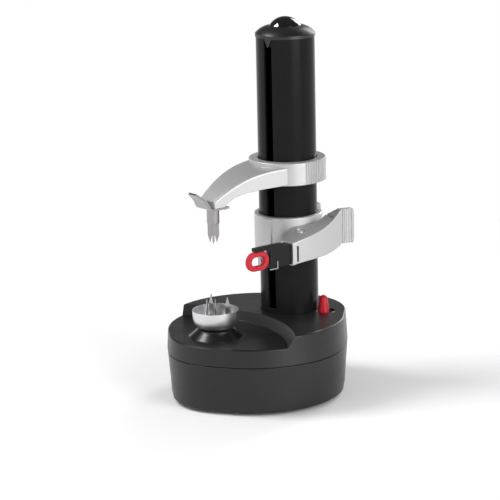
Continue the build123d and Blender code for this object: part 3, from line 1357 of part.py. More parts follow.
# ---------------------------------------------------------------- upper arm
def arm_half_width(y):
    """Half the arm's width at a place along it."""
    share = (ARM_ROOT_Y - y) / (ARM_ROOT_Y - ARM_TIP_Y)
    return ARM_ROOT_HALF_WIDTH + share * (ARM_TIP_HALF_WIDTH - ARM_ROOT_HALF_WIDTH)


def arm_side(drop, width):
    """Arm seen from the side, extruded over a width; drop lowers its top line."""
    top = Spline(*[(y, z - drop) for y, z in ARM_TOP_LINE])
    bottom = Spline(*ARM_BOTTOM_LINE)
    chin = Polyline(ARM_BOTTOM_LINE[-1], (ARM_TIP_Y, ARM_CHIN_Z), (ARM_TIP_Y, top_end(drop)))
    back = Line(ARM_TOP_LINE[0][:1] + (ARM_TOP_LINE[0][1] - drop,), ARM_BOTTOM_LINE[0])
    plane = Plane(origin=(-width / 2, 0, 0), x_dir=(0, 1, 0), z_dir=(1, 0, 0))
    return extrude(plane * make_face(Curve() + [top, back, bottom, chin]), amount=width)


def top_end(drop):
    """Height of the arm's top line at its tip."""
    return ARM_TOP_LINE[-1][1] - drop


def arm_plan(inset, front_y):
    """Arm seen from above, from the tip to inside the ring."""
    back_y = TOWER_AXIS_Y - ARM_BORE + ARM_OVERLAP
    front = arm_half_width(front_y) - inset
    back = arm_half_width(back_y) - inset
    return Polygon((-front, front_y), (front, front_y), (back, back_y), (-back, back_y), align=None)


def make_upper_arm():
    """Arm that reaches over the food, with its ring round the tower."""
    span = 2 * ARM_RING_RADIUS
    low = ARM_CHIN_Z - TAB_THICKNESS
    beam = arm_side(0.0, span) & upright(arm_plan(0.0, ARM_TIP_Y), low, ARM_RING_TOP)
    beam = fillet(long_upper_edges(beam, ARM_RING_BOTTOM), ARM_BEAM_EDGE_RADIUS)
    pocket = arm_side_pocket(span) & upright(
        arm_plan(ARM_WALL, ARM_POCKET_FRONT_Y), low, ARM_RING_TOP
    )
    ring = disc(ARM_RING_RADIUS, ARM_RING_BOTTOM, ARM_RING_TOP, 0, TOWER_AXIS_Y)
    ring = fillet(ring.edges().group_by(Axis.Z)[-1], ARM_EDGE_RADIUS)
    keep = disc(ARM_BORE + ARM_WALL, ARM_CHIN_Z, ARM_RING_TOP, 0, TOWER_AXIS_Y)
    body = (beam - (pocket - keep)) + ring
    body -= disc(ARM_BORE, low, ARM_RING_TOP, 0, TOWER_AXIS_Y)
    body -= grip_grooves()
    body -= tab_seat()
    body -= disc(arm_bush_outer(), HUB_CLIP_LOW, HUB_PIN_TOP + CELL_GAP, 0, FOOD_AXIS_Y)
    for x in (-TAB_SCREW_X, TAB_SCREW_X):
        body -= disc(TAB_SCREW_RADIUS, TAB_TOP, TAB_TOP + TAB_SCREW_LENGTH, x, TAB_SCREW_Y)
    return body


def long_upper_edges(solid, height):
    """Edges of a beam that run along it above a height."""
    edges = [e for e in solid.edges() if e.length > ARM_SHOULDER_OFFSET and (e @ 0.5).Z > height]
    return ShapeList(edges)


def arm_side_pocket(span):
    """Space under the arm's top wall."""
    top = Spline(*[(y, z - ARM_WALL) for y, z in ARM_TOP_LINE])
    low = ARM_CHIN_Z - TAB_THICKNESS
    first = ARM_TOP_LINE[0]
    last = ARM_TOP_LINE[-1]
    rest = Polyline(
        (first[0], first[1] - ARM_WALL), (first[0], low), (last[0], low), (last[0], last[1] - ARM_WALL)
    )
    plane = Plane(origin=(-span / 2, 0, 0), x_dir=(0, 1, 0), z_dir=(1, 0, 0))
    return extrude(plane * make_face(Curve() + [top, rest]), amount=span)


def grip_grooves():
    """Upright grooves on both sides of the arm's ring."""
    grooves = Part()
    step = degrees(GRIP_GROOVE_PITCH / ARM_RING_RADIUS)
    for i in range(GRIP_GROOVE_COUNT):
        for side in (-1, 1):
            angle = 90 - side * (90 - GRIP_GROOVE_START - i * step)
            grooves += radial_block(
                ARM_RING_RADIUS - GRIP_GROOVE_DEPTH,
                ARM_RING_RADIUS + GRIP_GROOVE_DEPTH,
                GRIP_GROOVE_WIDTH,
                ARM_RING_BOTTOM,
                ARM_RING_TOP,
                angle,
            )
    return grooves


def arm_bush_outer():
    """Outer radius of the bush in the arm's tip."""
    return HUB_PIN_RADIUS + RUNNING_GAP + ARM_BUSH_WALL


def tab_seat():
    """Recess under the arm's tip for the holder's clip."""
    return disc(HUB_CLIP_RADIUS + CELL_GAP, TAB_BOTTOM, HUB_CLIP_ROOM, 0, FOOD_AXIS_Y)


def make_finger_tab():
    """Curled steel tab under the arm's tip, for lifting the arm."""
    low = TAB_BOTTOM
    start = (FOOD_AXIS_Y + TAB_START_OFFSET, low)
    bend = (FOOD_AXIS_Y - TAB_BEND_OFFSET, low)
    curl = (FOOD_AXIS_Y - TAB_CURL_OFFSET, low + TAB_CURL_RISE)
    tip = (FOOD_AXIS_Y - TAB_TIP_OFFSET, low + TAB_TIP_RISE)
    end_slope = (tip[0] - curl[0], tip[1] - curl[1])
    slopes = ((-1, 0), end_slope)
    shift = TAB_THICKNESS * sqrt(2) / 2
    under = Spline(bend, curl, tip, tangents=slopes)
    over = Spline(
        (bend[0], low + TAB_THICKNESS),
        (curl[0] + shift, curl[1] + shift),
        (tip[0] + shift, tip[1] + shift),
        tangents=slopes,
    )
    lines = [
        Line(start, bend),
        under,
        Line(under @ 1, over @ 1),
        over,
        Line(over @ 0, (start[0], low + TAB_THICKNESS)),
        Line((start[0], low + TAB_THICKNESS), start),
    ]
    plane = Plane(origin=(-TAB_HALF_WIDTH, 0, 0), x_dir=(0, 1, 0), z_dir=(1, 0, 0))
    body = extrude(plane * make_face(Curve() + lines), amount=2 * TAB_HALF_WIDTH)
    corners = body.edges().filter_by(lambda e: e.length < 2 * TAB_THICKNESS and (e @ 0.5).Z > ARM_CHIN_Z)
    body = fillet(corners, TAB_CORNER_RADIUS) - tab_cut()
    body -= disc(HUB_PIN_RADIUS + CELL_GAP, low, low + TAB_THICKNESS, 0, FOOD_AXIS_Y)
    for x in (-TAB_SCREW_X, TAB_SCREW_X):
        body -= disc(TAB_SCREW_RADIUS + SCREW_HOLE_GAP, low, low + TAB_THICKNESS, x, TAB_SCREW_Y)
    return body


def tab_cut():
    """Corner cut off the tab on the side of the lever."""
    front = FOOD_AXIS_Y - TAB_TIP_OFFSET - TAB_THICKNESS
    side = TAB_HALF_WIDTH + TAB_THICKNESS
    root = FOOD_AXIS_Y - TAB_BEND_OFFSET
    corner = Polygon((-TAB_CUT_START, front), (side, front), (side, root), align=None)
    return upright(corner, TAB_BOTTOM, TAB_BOTTOM + TAB_TIP_RISE + 2 * TAB_THICKNESS)


def make_tab_screws():
    """Screws that hold the tab under the arm."""
    low = TAB_BOTTOM
    screws = []
    for x in (-TAB_SCREW_X, TAB_SCREW_X):
        body = disc(TAB_SCREW_RADIUS, low, TAB_TOP + TAB_SCREW_LENGTH, x, TAB_SCREW_Y)
        body += disc(TAB_SCREW_HEAD_RADIUS, low - TAB_SCREW_HEAD_HEIGHT, low, x, TAB_SCREW_Y)
        screws.append(body)
    return screws


def make_arm_bush():
    """Bush in the arm's tip."""
    bore = HUB_PIN_RADIUS + RUNNING_GAP
    return tube(arm_bush_outer(), bore, HUB_CLIP_ROOM, HUB_PIN_TOP, 0, FOOD_AXIS_Y)


def make_hub_clip():
    """Clip that hangs the upper holder on the tab."""
    low = HUB_CLIP_LOW
    return tube(HUB_CLIP_RADIUS, HUB_PIN_RADIUS, low, low + HUB_CLIP_THICKNESS, 0, FOOD_AXIS_Y)


def make_upper_hub():
    """Free-turning hub of the upper food holder."""
    body = disc(HUB_RADIUS, HUB_BOTTOM, HUB_SHOULDER, 0, FOOD_AXIS_Y)
    body = fillet(body.edges(), HUB_EDGE_RADIUS)
    body += disc(HUB_PIN_RADIUS, HUB_SHOULDER, HUB_PIN_TOP, 0, FOOD_AXIS_Y)
    half_width = HUB_PRONG_WIDTH / 2
    half_depth = HUB_PRONG_THICKNESS / 2
    seat = block(-half_width, half_width, -half_depth, half_depth, 0, HUB_PRONG_SEAT)
    for place in hub_prong_places():
        body -= place * seat
    return body


def hub_prong_places():
    """Where the prongs stand in the hub."""
    places = []
    for i in range(HUB_PRONG_COUNT):
        turn = Rot(0, 0, HUB_PRONG_TURN + 360 * i / HUB_PRONG_COUNT)
        places.append(Pos(0, FOOD_AXIS_Y, HUB_BOTTOM) * turn * Pos(HUB_PRONG_CIRCLE, 0, 0))
    return places


def make_upper_prongs():
    """Prongs that hold the food from above."""
    prongs = []
    for place in hub_prong_places():
        prong = pointed_blade(HUB_PRONG_WIDTH, HUB_PRONG_THICKNESS, HUB_PRONG_LENGTH)
        prongs.append(place * (Pos(0, 0, HUB_PRONG_SEAT) * (Rot(180, 0, 0) * prong)))
    return prongs


# ---------------------------------------------------------------- carriage
def lug_outline():
    """Lug that carries the lever's pin."""
    root = (CARRIAGE_RADIUS + CARRIAGE_BORE) / 2
    angle = atan2(PIVOT_Y - TOWER_AXIS_Y, PIVOT_X)
    narrow = LUG_RADIUS - LUG_ROOT_NARROWING
    inner = (root * cos(angle), TOWER_AXIS_Y + root * sin(angle), narrow)
    return wrap([(PIVOT_X, PIVOT_Y, LUG_RADIUS), inner])


def make_carriage_collar():
    """Collar that slides on the tower and carries the lever."""
    body = disc(CARRIAGE_RADIUS, CARRIAGE_BOTTOM, CARRIAGE_TOP, 0, TOWER_AXIS_Y)
    body = fillet(body.edges().group_by(Axis.Z)[-1], ARM_EDGE_RADIUS)
    body += radial_block(
        CARRIAGE_BORE, CARRIAGE_RADIUS + RIB_DEPTH, RIB_WIDTH, CARRIAGE_BOTTOM,
        CARRIAGE_TOP - RIB_TOP_DROP, SLOT_ANGLE,
    )
    body += upright(lug_outline(), LUG_BOTTOM, LUG_TOP)
    stop_top = CARRIAGE_TOP + STOP_HEIGHT
    body += radial_block(
        TOWER_RADIUS, CARRIAGE_RADIUS - ARM_EDGE_RADIUS, STOP_WIDTH, CARRIAGE_TOP - RIB_TOP_DROP,
        stop_top, STOP_ANGLE,
    )
    body -= disc(CARRIAGE_BORE, CARRIAGE_BOTTOM, stop_top, 0, TOWER_AXIS_Y)
    low = KEY_CENTRE_Z - KEY_HEIGHT / 2 - KEY_POCKET_GAP
    high = KEY_CENTRE_Z + KEY_HEIGHT / 2 + KEY_POCKET_GAP
    width = KEY_WIDTH + 2 * KEY_POCKET_GAP
    body -= radial_block(
        TOWER_RADIUS, CARRIAGE_BORE + KEY_HEAD_DEPTH + KEY_POCKET_GAP, width, low, high, SLOT_ANGLE
    )
    return body - disc(PIVOT_PIN_RADIUS, LUG_BOTTOM, LUG_TOP, PIVOT_X, PIVOT_Y)


def make_screw_follower():
    """Key of the carriage, with a round pin that rides in the thread."""
    low = KEY_CENTRE_Z - KEY_HEIGHT / 2
    high = KEY_CENTRE_Z + KEY_HEIGHT / 2
    body = block(
        FOLLOWER_SHOULDER_RADIUS, CARRIAGE_BORE + KEY_HEAD_DEPTH, -KEY_WIDTH / 2,
        KEY_WIDTH / 2, low, high,
    )
    tip = THREAD_CORE_RADIUS + FOLLOWER_TIP_GAP
    body += along_x(FOLLOWER_PIN_RADIUS, tip, FOLLOWER_SHOULDER_RADIUS, 0, KEY_CENTRE_Z)
    return Pos(0, TOWER_AXIS_Y, 0) * (Rot(0, 0, SLOT_ANGLE) * body)


# ---------------------------------------------------------------- peel lever
def lever_section(x, top, wall, front_y, back_y):
    """Lever's outline across X at one place, drawn in by a wall."""
    upper = [(y, z - wall) for y, z in top]
    lower = [(y, z + wall) for y, z in LEVER_BOTTOM]
    upper[0] = (front_y, upper[0][1])
    lower[0] = (front_y, lower[0][1])
    upper[-1] = (back_y, upper[-1][1])
    lower[-1] = (back_y, lower[-1][1])
    return side_face(upper, lower, x)


def lever_blank(wall=0.0, front_y=LEVER_FRONT_Y, back_y=PADDLE_Y):
    """Solid between the lever's top and bottom surfaces."""
    outer_x = LEVER_OUTER_X + PADDLE_FLARE + PADDLE_THICKNESS
    inner_x = CARRIAGE_BORE - PADDLE_THICKNESS
    rise = (outer_x - LEVER_OUTER_X) / (LEVER_OUTER_X - inner_x)
    outer_top = [(y, z + (z - q) * rise) for (y, z), (_, q) in zip(LEVER_OUTER_TOP, LEVER_INNER_TOP)]
    faces = [
        lever_section(outer_x, outer_top, wall, front_y, back_y),
        lever_section(inner_x, LEVER_INNER_TOP, wall, front_y, back_y),
    ]
    return loft(faces, ruled=True)


def lever_plan():
    """Lever seen from above, without its paddle."""
    outer = ThreePointArc(
        (LEVER_OUTER_X, LEVER_FRONT_Y),
        (LEVER_OUTER_X + LEVER_BACK_BULGE, (LEVER_FRONT_Y + PADDLE_Y) / 2),
        (LEVER_END_X, PADDLE_Y),
    )
    waist_x = TOWER_RADIUS - KEY_CLEARANCE
    inner = Polyline(
        (LEVER_END_X, PADDLE_Y),
        (LEVER_END_X - PADDLE_THICKNESS, PADDLE_Y),
        (LEVER_END_X - LEVER_ELBOW_NARROWING, PADDLE_Y - LEVER_ELBOW_SETBACK),
        (LEVER_END_X - LEVER_SHOULDER_NARROWING, PADDLE_Y - LEVER_SHOULDER_SETBACK),
        (waist_x, PADDLE_Y - LEVER_WAIST_SETBACK),
        (waist_x, PIVOT_Y),
        (LEVER_INNER_X, LEVER_SLOT_Y),
        (LEVER_INNER_X, LEVER_FRONT_Y),
        (LEVER_OUTER_X, LEVER_FRONT_Y),
    )
    return make_face(Curve() + [outer, inner])


def paddle_plan():
    """Finger paddle at the lever's end, seen from above."""
    end_x = LEVER_END_X + PADDLE_FLARE
    middle_x = LEVER_END_X + PADDLE_FLARE / 4
    heel = (end_x - PADDLE_THICKNESS + PADDLE_SHOULDER_DROP, PADDLE_END_Y + PADDLE_ROUND / 2)
    outer = ThreePointArc(
        (LEVER_END_X, PADDLE_Y), (middle_x, (PADDLE_Y + PADDLE_END_Y) / 2), (end_x, PADDLE_END_Y)
    )
    end = ThreePointArc(
        (end_x, PADDLE_END_Y), (end_x - PADDLE_ROUND, PADDLE_END_Y + PADDLE_ROUND), heel
    )
    inner = Polyline(heel, (LEVER_END_X - PADDLE_THICKNESS, PADDLE_Y), (LEVER_END_X, PADDLE_Y))
    return make_face(Curve() + [outer, end, inner])


def paddle_side():
    """Paddle's outline seen from the side, with a bowed end."""
    end = PADDLE_END_Y + PADDLE_ROUND
    corner = end - PADDLE_BOW
    middle = (PADDLE_TOP + PADDLE_BOTTOM) / 2
    bow = ThreePointArc((corner, PADDLE_TOP), (end, middle), (corner, PADDLE_BOTTOM))
    rest = Polyline(
        (corner, PADDLE_BOTTOM), (PADDLE_Y, PADDLE_BOTTOM), (PADDLE_Y, PADDLE_TOP), (corner, PADDLE_TOP)
    )
    plane = Plane(origin=(0, 0, 0), x_dir=(0, 1, 0), z_dir=(1, 0, 0))
    reach = LEVER_END_X + PADDLE_FLARE + PADDLE_THICKNESS
    return extrude(plane * make_face(Curve() + [bow, rest]), amount=reach)


def collar_sweep():
    """Space that the collar needs inside the lever over its whole swing."""
    space = Part()
    for swing in (-LEVER_SWING_IN, -LEVER_SWING_IN / 2, 0.0, LEVER_SWING_OUT / 2, LEVER_SWING_OUT):
        collar = disc(
            CARRIAGE_RADIUS + LEVER_COLLAR_GAP, 0, CARRIAGE_TOP + CARRIAGE_HEIGHT, 0, TOWER_AXIS_Y
        )
        turn = Pos(PIVOT_X, PIVOT_Y, 0) * Rot(0, 0, -swing) * Pos(-PIVOT_X, -PIVOT_Y, 0)
        space += turn * collar
    return space


def paddle_grooves():
    """Upright grooves in the paddle's outer face."""
    grooves = Part()
    step = PADDLE_LENGTH / (PADDLE_GROOVE_COUNT + 1)
    for i in range(1, PADDLE_GROOVE_COUNT + 1):
        share = i / (PADDLE_GROOVE_COUNT + 1)
        x = LEVER_END_X + PADDLE_FLARE * share**PADDLE_CURVE_POWER
        y = PADDLE_Y + step * i
        groove = block(
            x - PADDLE_GROOVE_DEPTH, x + PADDLE_FLARE, y - PADDLE_GROOVE_WIDTH / 2,
            y + PADDLE_GROOVE_WIDTH / 2, PADDLE_BOTTOM - PADDLE_FLARE, PADDLE_TOP + PADDLE_FLARE,
        )
        grooves += groove
    return grooves


def holder_socket():
    """Socket in the lever's front for the blade holder."""
    gap = HOLDER_GAP
    x1 = HOLDER_OUTER_X + gap
    return block(
        x1 - HOLDER_DEPTH - 2 * gap, x1, HOLDER_FRONT_Y, LEVER_FRONT_Y + HOLDER_PLUG_LENGTH + gap,
        HOLDER_BOTTOM - gap, HOLDER_TOP + gap,
    )


def make_peel_lever():
    """Lever with its paddle, hollow on the side that faces the tower."""
    low = CARRIAGE_BOTTOM - LUG_HEIGHT
    high = CARRIAGE_TOP + LUG_HEIGHT * 2
    body = lever_blank() & upright(lever_plan(), low, high)
    rims = [e for e in body.edges() if e.length > PADDLE_OFFSET and (e @ 0.5).X > HOLDER_OUTER_X]
    body = fillet(ShapeList(rims), LEVER_EDGE_RADIUS)
    pocket_front = PIVOT_Y - LUG_RADIUS - LEVER_COLLAR_GAP
    pocket = lever_blank(LEVER_WALL, pocket_front, PADDLE_Y - LEVER_POCKET_END_GAP)
    pocket &= upright(Pos(-LEVER_WALL, 0) * lever_plan(), low, high)
    body -= pocket
    body += upright(paddle_plan(), PADDLE_BOTTOM, PADDLE_TOP) & paddle_side()
    body -= paddle_grooves()
    body -= collar_sweep()
    body -= holder_socket()
    body -= disc(PIVOT_PIN_RADIUS + RUNNING_GAP, low, high, PIVOT_X, PIVOT_Y)
    head_low = PIVOT_HEAD_LOW - RUNNING_GAP
    body -= disc(PIVOT_HEAD_RADIUS + RUNNING_GAP, head_low, high, PIVOT_X, PIVOT_Y)
    slot_low = (HOLDER_BOTTOM + HOLDER_TOP - LEVER_SLOT_HEIGHT) / 2
    body -= block(
        LEVER_OUTER_X - LEVER_SLOT_DEPTH, LEVER_OUTER_X + LEVER_BACK_BULGE,
        LEVER_SLOT_Y - LEVER_SLOT_WIDTH / 2,
        LEVER_SLOT_Y + LEVER_SLOT_WIDTH / 2, slot_low, slot_low + LEVER_SLOT_HEIGHT,
    )
    return body


def make_pivot_pin():
    """Pin through the lever and the collar's lug."""
    low = CARRIAGE_BOTTOM + PIVOT_PIN_FOOT
    body = disc(PIVOT_PIN_RADIUS, low, PIVOT_HEAD_LOW, PIVOT_X, PIVOT_Y)
    return body + disc(
        PIVOT_HEAD_RADIUS, PIVOT_HEAD_LOW, PIVOT_HEAD_LOW + PIVOT_HEAD_HEIGHT, PIVOT_X, PIVOT_Y
    )


def make_lever_spring():
    """Torsion spring round the pin, above the lug."""
    low = LUG_TOP + RUNNING_GAP
    length = (SPRING_TURNS + 1) * 2 * SPRING_WIRE_RADIUS * SPRING_SLACK
    return coil(SPRING_COIL_RADIUS, SPRING_WIRE_RADIUS, length, SPRING_TURNS, PIVOT_X, PIVOT_Y, low)


# ---------------------------------------------------------------- blade
def make_blade_holder():
    """Holder that plugs into the lever and reaches round the guard."""
    x0 = HOLDER_OUTER_X - HOLDER_DEPTH
    plug_end = LEVER_FRONT_Y + HOLDER_PLUG_LENGTH
    body = block(x0, HOLDER_OUTER_X, HOLDER_FRONT_Y, plug_end, HOLDER_BOTTOM, HOLDER_TOP)
    body = fillet(body.edges().filter_by(Axis.Z), HOLDER_EDGE_RADIUS)
    arm_low = GUARD_HIGH + GUARD_GAP
    arm_top = arm_low + CARRIER_ARM_THICKNESS
    root = HOLDER_FRONT_Y + CARRIER_OVERLAP
    neck = block(CARRIER_INNER_X, CARRIER_OUTER_X, CARRIER_NECK_Y, root, GUARD_LOW, arm_top)
    arm = block(CARRIER_INNER_X, CARRIER_OUTER_X, CARRIER_TIP_Y, CARRIER_NECK_Y, arm_low, arm_top)
    body += fillet((neck + arm).edges().filter_by(Axis.X), HOLDER_EDGE_RADIUS)
    return body - guard_body(GUARD_GAP)


def guard_body(grow):
    """Oval guard in an upright plane without its hole, its sizes grown by a clearance."""
    depth = GUARD_DEPTH + 2 * grow
    outline = SlotOverall(GUARD_LENGTH + 2 * grow, GUARD_HEIGHT + 2 * grow)
    return extrude(guard_plane(depth) * outline, amount=depth)


def guard_plane(depth):
    """Upright plane on the inner face of something as deep as the guard."""
    origin = (CARRIER_MIDDLE_X - depth / 2, GUARD_CENTRE_Y, GUARD_CENTRE_Z)
    return Plane(origin=origin, x_dir=(0, 1, 0), z_dir=(1, 0, 0))


def blade_box(grow):
    """Space of the blade, its sizes grown by a clearance."""
    y = GUARD_CENTRE_Y + BLADE_OFFSET_Y
    reach = GUARD_HOLE_HEIGHT / 2 + BLADE_SEAT + grow
    half = BLADE_THICKNESS / 2 + grow
    return block(
        CARRIER_MIDDLE_X - half, CARRIER_MIDDLE_X + half,
        y - BLADE_WIDTH / 2 - grow, y + BLADE_WIDTH / 2 + grow,
        GUARD_CENTRE_Z - reach, GUARD_CENTRE_Z + reach,
    )


def make_blade_guard():
    """Oval guard that rides on the food."""
    hole = guard_plane(GUARD_DEPTH) * SlotOverall(GUARD_HOLE_LENGTH, GUARD_HOLE_HEIGHT)
    body = guard_body(0.0) - extrude(hole, amount=GUARD_DEPTH)
    return fillet(body.edges(), GUARD_EDGE_RADIUS) - blade_box(RUNNING_GAP)


def make_peeling_blade():
    """Steel blade across the guard's opening."""
    return blade_box(0.0)


def make_blade_retainer():
    """Bent steel strip that keeps the guard in its holder."""
    low = GUARD_LOW - RETAINER_WIDTH
    high = GUARD_LOW + RETAINER_HEIGHT
    y1 = HOLDER_FRONT_Y - RETAINER_OFFSET
    x0 = CARRIER_OUTER_X
    x1 = x0 + RETAINER_THICKNESS
    upright_leg = block(x0, x1, y1 - RETAINER_WIDTH, y1, low, high)
    return upright_leg + block(x0, x1, CARRIER_NECK_Y - RETAINER_FOOT, y1, low, GUARD_LOW)


# ---------------------------------------------------------------- switch and socket
def switch_well():
    """Recess and slot in the pad for the switch knob."""
    long_side = 2 * (SWITCH_KNOB_RADIUS + SWITCH_WELL_GAP) + SWITCH_TRAVEL
    short_side = 2 * (SWITCH_KNOB_RADIUS + SWITCH_WELL_GAP)
    centre = Pos(SWITCH_X, SWITCH_Y + SWITCH_TRAVEL / 2)
    well = centre * Rot(0, 0, 90) * SlotOverall(long_side, short_side)
    stem = SWITCH_STEM_RADIUS + SWITCH_STEM_GAP
    slot = centre * Rot(0, 0, 90) * SlotOverall(2 * stem + SWITCH_TRAVEL, 2 * stem)
    space = upright(well, PAD_HEIGHT - SWITCH_WELL_DEPTH, PAD_HEIGHT)
    return space + upright(slot, PAD_UNDERSIDE, PAD_HEIGHT)


def make_switch_knob():
    """Domed knob of the slide switch, with its stem."""
    low = PAD_HEIGHT - SWITCH_WELL_DEPTH + CELL_GAP
    high = PAD_HEIGHT + SWITCH_KNOB_HEIGHT
    cone_high = high - SWITCH_KNOB_TOP_RADIUS
    cone = Cone(SWITCH_KNOB_RADIUS, SWITCH_KNOB_TOP_RADIUS, cone_high - low, align=UP)
    body = Pos(SWITCH_X, SWITCH_Y, low) * cone
    body += Pos(SWITCH_X, SWITCH_Y, cone_high) * Sphere(SWITCH_KNOB_TOP_RADIUS)
    return body + disc(SWITCH_STEM_RADIUS, low - SWITCH_STEM_LENGTH, low, SWITCH_X, SWITCH_Y)


def make_slide_switch():
    """Switch body under the pad, open for the knob's stem."""
    y = SWITCH_Y + SWITCH_TRAVEL / 2
    high = PAD_UNDERSIDE
    body = block(
        SWITCH_X - SWITCH_BODY_WIDTH / 2, SWITCH_X + SWITCH_BODY_WIDTH / 2,
        y - SWITCH_BODY_LENGTH / 2, y + SWITCH_BODY_LENGTH / 2, high - SWITCH_BODY_HEIGHT, high,
    )
    stem = SWITCH_STEM_RADIUS + SWITCH_STEM_GAP
    slot = Pos(SWITCH_X, y) * Rot(0, 0, 90) * SlotOverall(2 * stem + SWITCH_TRAVEL, 2 * stem)
    return body - upright(slot, high - SWITCH_BODY_HEIGHT + SWITCH_BODY_FLOOR, high)


def socket_face_y():
    """Outer face of the supply socket, flush in the back wall."""
    return BACK_CENTRE_Y + BACK_RADIUS - tub_inset(SOCKET_HEIGHT_Z) - CELL_GAP


def along_y(radius, y0, y1, x, z):
    """Cylinder lying along Y."""
    return Pos(x, y0, z) * (Rot(-90, 0, 0) * Cylinder(radius, y1 - y0, align=UP))


def socket_hole():
    """Hole in the back wall for the supply socket."""
    start = socket_face_y() - SOCKET_LENGTH / 2
    end = BACK_CENTRE_Y + BACK_RADIUS + BASE_WALL
    return along_y(SOCKET_OUTER_RADIUS + RUNNING_GAP, start, end, 0, SOCKET_HEIGHT_Z)


def make_supply_socket():
    """Barrel socket for a mains adaptor."""
    face = socket_face_y()
    inner_wall = face - BASE_WALL - SOCKET_FLANGE_GAP
    body = along_y(SOCKET_OUTER_RADIUS, face - SOCKET_LENGTH, face, 0, SOCKET_HEIGHT_Z)
    flange = SOCKET_OUTER_RADIUS + SOCKET_FLANGE
    body += along_y(flange, inner_wall - SOCKET_FLANGE_THICKNESS, inner_wall, 0, SOCKET_HEIGHT_Z)
    body -= along_y(SOCKET_BORE_RADIUS, face - SOCKET_LENGTH + SOCKET_BOTTOM, face, 0, SOCKET_HEIGHT_Z)
    pin_end = face - SOCKET_PIN_SETBACK
    return body + along_y(SOCKET_PIN_RADIUS, face - SOCKET_LENGTH, pin_end, 0, SOCKET_HEIGHT_Z)


# ---------------------------------------------------------------- assembly
def nodes():
    """Every sub-part by its node name."""
    parts = {
        "base_tub": make_base_tub(),
        "base_cover": make_base_cover(),
        "rubber_feet": make_rubber_feet(),
        "case_screws": make_case_screws(),
        "battery_door": make_battery_door(),
        "door_screw": make_door_screw(),
        "battery_tray": make_battery_tray(),
        "battery_contacts": make_battery_contacts(),
        "battery_springs": make_battery_springs(),
        "gearbox_lower_plate": make_lower_plate(),
        "gearbox_upper_plate": make_upper_plate(),
        "gearbox_posts": make_gearbox_posts(),
        "gearbox_screws": make_gearbox_screws(),
        "drive_motor": make_drive_motor(),
        "motor_screws": make_motor_screws(),
        "motor_pinion": make_motor_pinion(),
        "first_gear": make_first_gear(),
        "first_axle": make_first_axle(),
        "axle_clip": make_axle_clip(),
        "second_gear": make_second_gear(),
        "second_axle": make_second_axle(),
        "spindle_gear": make_spindle_gear(),
        "food_spindle": make_food_spindle(),
        "spindle_bushes": make_spindle_bushes(),
        "food_cup": make_food_cup(),
        "cup_prongs": make_cup_prongs(),
        "tower_tube": make_tower_tube(),
        "tower_flange": make_tower_flange(),
        "tower_screws": make_tower_screws(),
        "tower_cap": make_tower_cap(),
        "top_dome": make_top_dome(),
        "lead_screw": make_lead_screw(),
        "screw_gear": make_screw_gear(),
        "screw_lower_bush": make_screw_bush(),
        "screw_upper_bush": make_top_bush(),
        "upper_arm": make_upper_arm(),
        "finger_tab": make_finger_tab(),
        "tab_screws": make_tab_screws(),
        "arm_bush": make_arm_bush(),
        "hub_clip": make_hub_clip(),
        "upper_hub": make_upper_hub(),
        "upper_prongs": make_upper_prongs(),
        "carriage_collar": make_carriage_collar(),
        "screw_follower": make_screw_follower(),
        "pivot_pin": make_pivot_pin(),
        "lever_spring": make_lever_spring(),
        "peel_lever": make_peel_lever(),
        "blade_holder": make_blade_holder(),
        "blade_guard": make_blade_guard(),
        "peeling_blade": make_peeling_blade(),
        "blade_retainer": make_blade_retainer(),
        "switch_knob": make_switch_knob(),
        "slide_switch": make_slide_switch(),
        "supply_socket": make_supply_socket(),
    }
    for i, (y, side) in enumerate(cell_rows(), start=1):
        parts[f"battery_cell_{i}"] = make_battery_cell(y, side)
    return parts


os.makedirs("parts", exist_ok=True)
for name, shape in nodes().items():
    whole = Compound(children=shape) if isinstance(shape, list) else shape
    export_step(whole, f"parts/{name}.step")
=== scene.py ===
"""Dresses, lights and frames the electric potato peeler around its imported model."""

import json
import logging
import math
from dataclasses import dataclass, field
from enum import Enum

import bmesh
import bpy
from mathutils import Matrix, Vector

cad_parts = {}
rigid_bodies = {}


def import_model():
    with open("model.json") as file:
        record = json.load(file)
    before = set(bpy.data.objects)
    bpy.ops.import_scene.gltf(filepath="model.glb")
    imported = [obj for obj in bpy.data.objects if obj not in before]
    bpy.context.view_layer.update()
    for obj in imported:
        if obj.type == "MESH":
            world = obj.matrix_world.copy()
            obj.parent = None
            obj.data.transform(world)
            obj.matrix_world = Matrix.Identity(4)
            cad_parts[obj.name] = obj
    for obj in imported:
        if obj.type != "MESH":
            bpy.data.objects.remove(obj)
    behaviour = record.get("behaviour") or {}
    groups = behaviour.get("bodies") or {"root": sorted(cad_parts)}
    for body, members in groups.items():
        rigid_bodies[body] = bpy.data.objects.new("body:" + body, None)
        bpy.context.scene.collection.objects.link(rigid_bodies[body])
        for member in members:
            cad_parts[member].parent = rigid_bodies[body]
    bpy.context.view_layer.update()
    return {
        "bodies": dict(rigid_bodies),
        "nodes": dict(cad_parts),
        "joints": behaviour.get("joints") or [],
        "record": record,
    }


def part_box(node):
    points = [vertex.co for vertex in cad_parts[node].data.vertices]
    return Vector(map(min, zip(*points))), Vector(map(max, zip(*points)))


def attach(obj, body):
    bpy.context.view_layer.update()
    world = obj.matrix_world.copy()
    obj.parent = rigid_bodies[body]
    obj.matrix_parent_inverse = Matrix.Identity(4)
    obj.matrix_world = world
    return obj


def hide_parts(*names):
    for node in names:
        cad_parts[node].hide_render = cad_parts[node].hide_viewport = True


LOG = logging.getLogger("peeler")
MM = 0.001
Colour = tuple[float, float, float]
Point = tuple[float, float, float]
Band = tuple[float, float]

ORIGIN: Point = (0.0, 0.0, 0.0)
EVEN: Point = (1.0, 1.0, 1.0)
LEVEL: Point = (1.0, 1.0, 0.0)
# Colour sockets of a Mix node.
MIX_COLOURS = (6, 7)
MIX_RESULT = 2
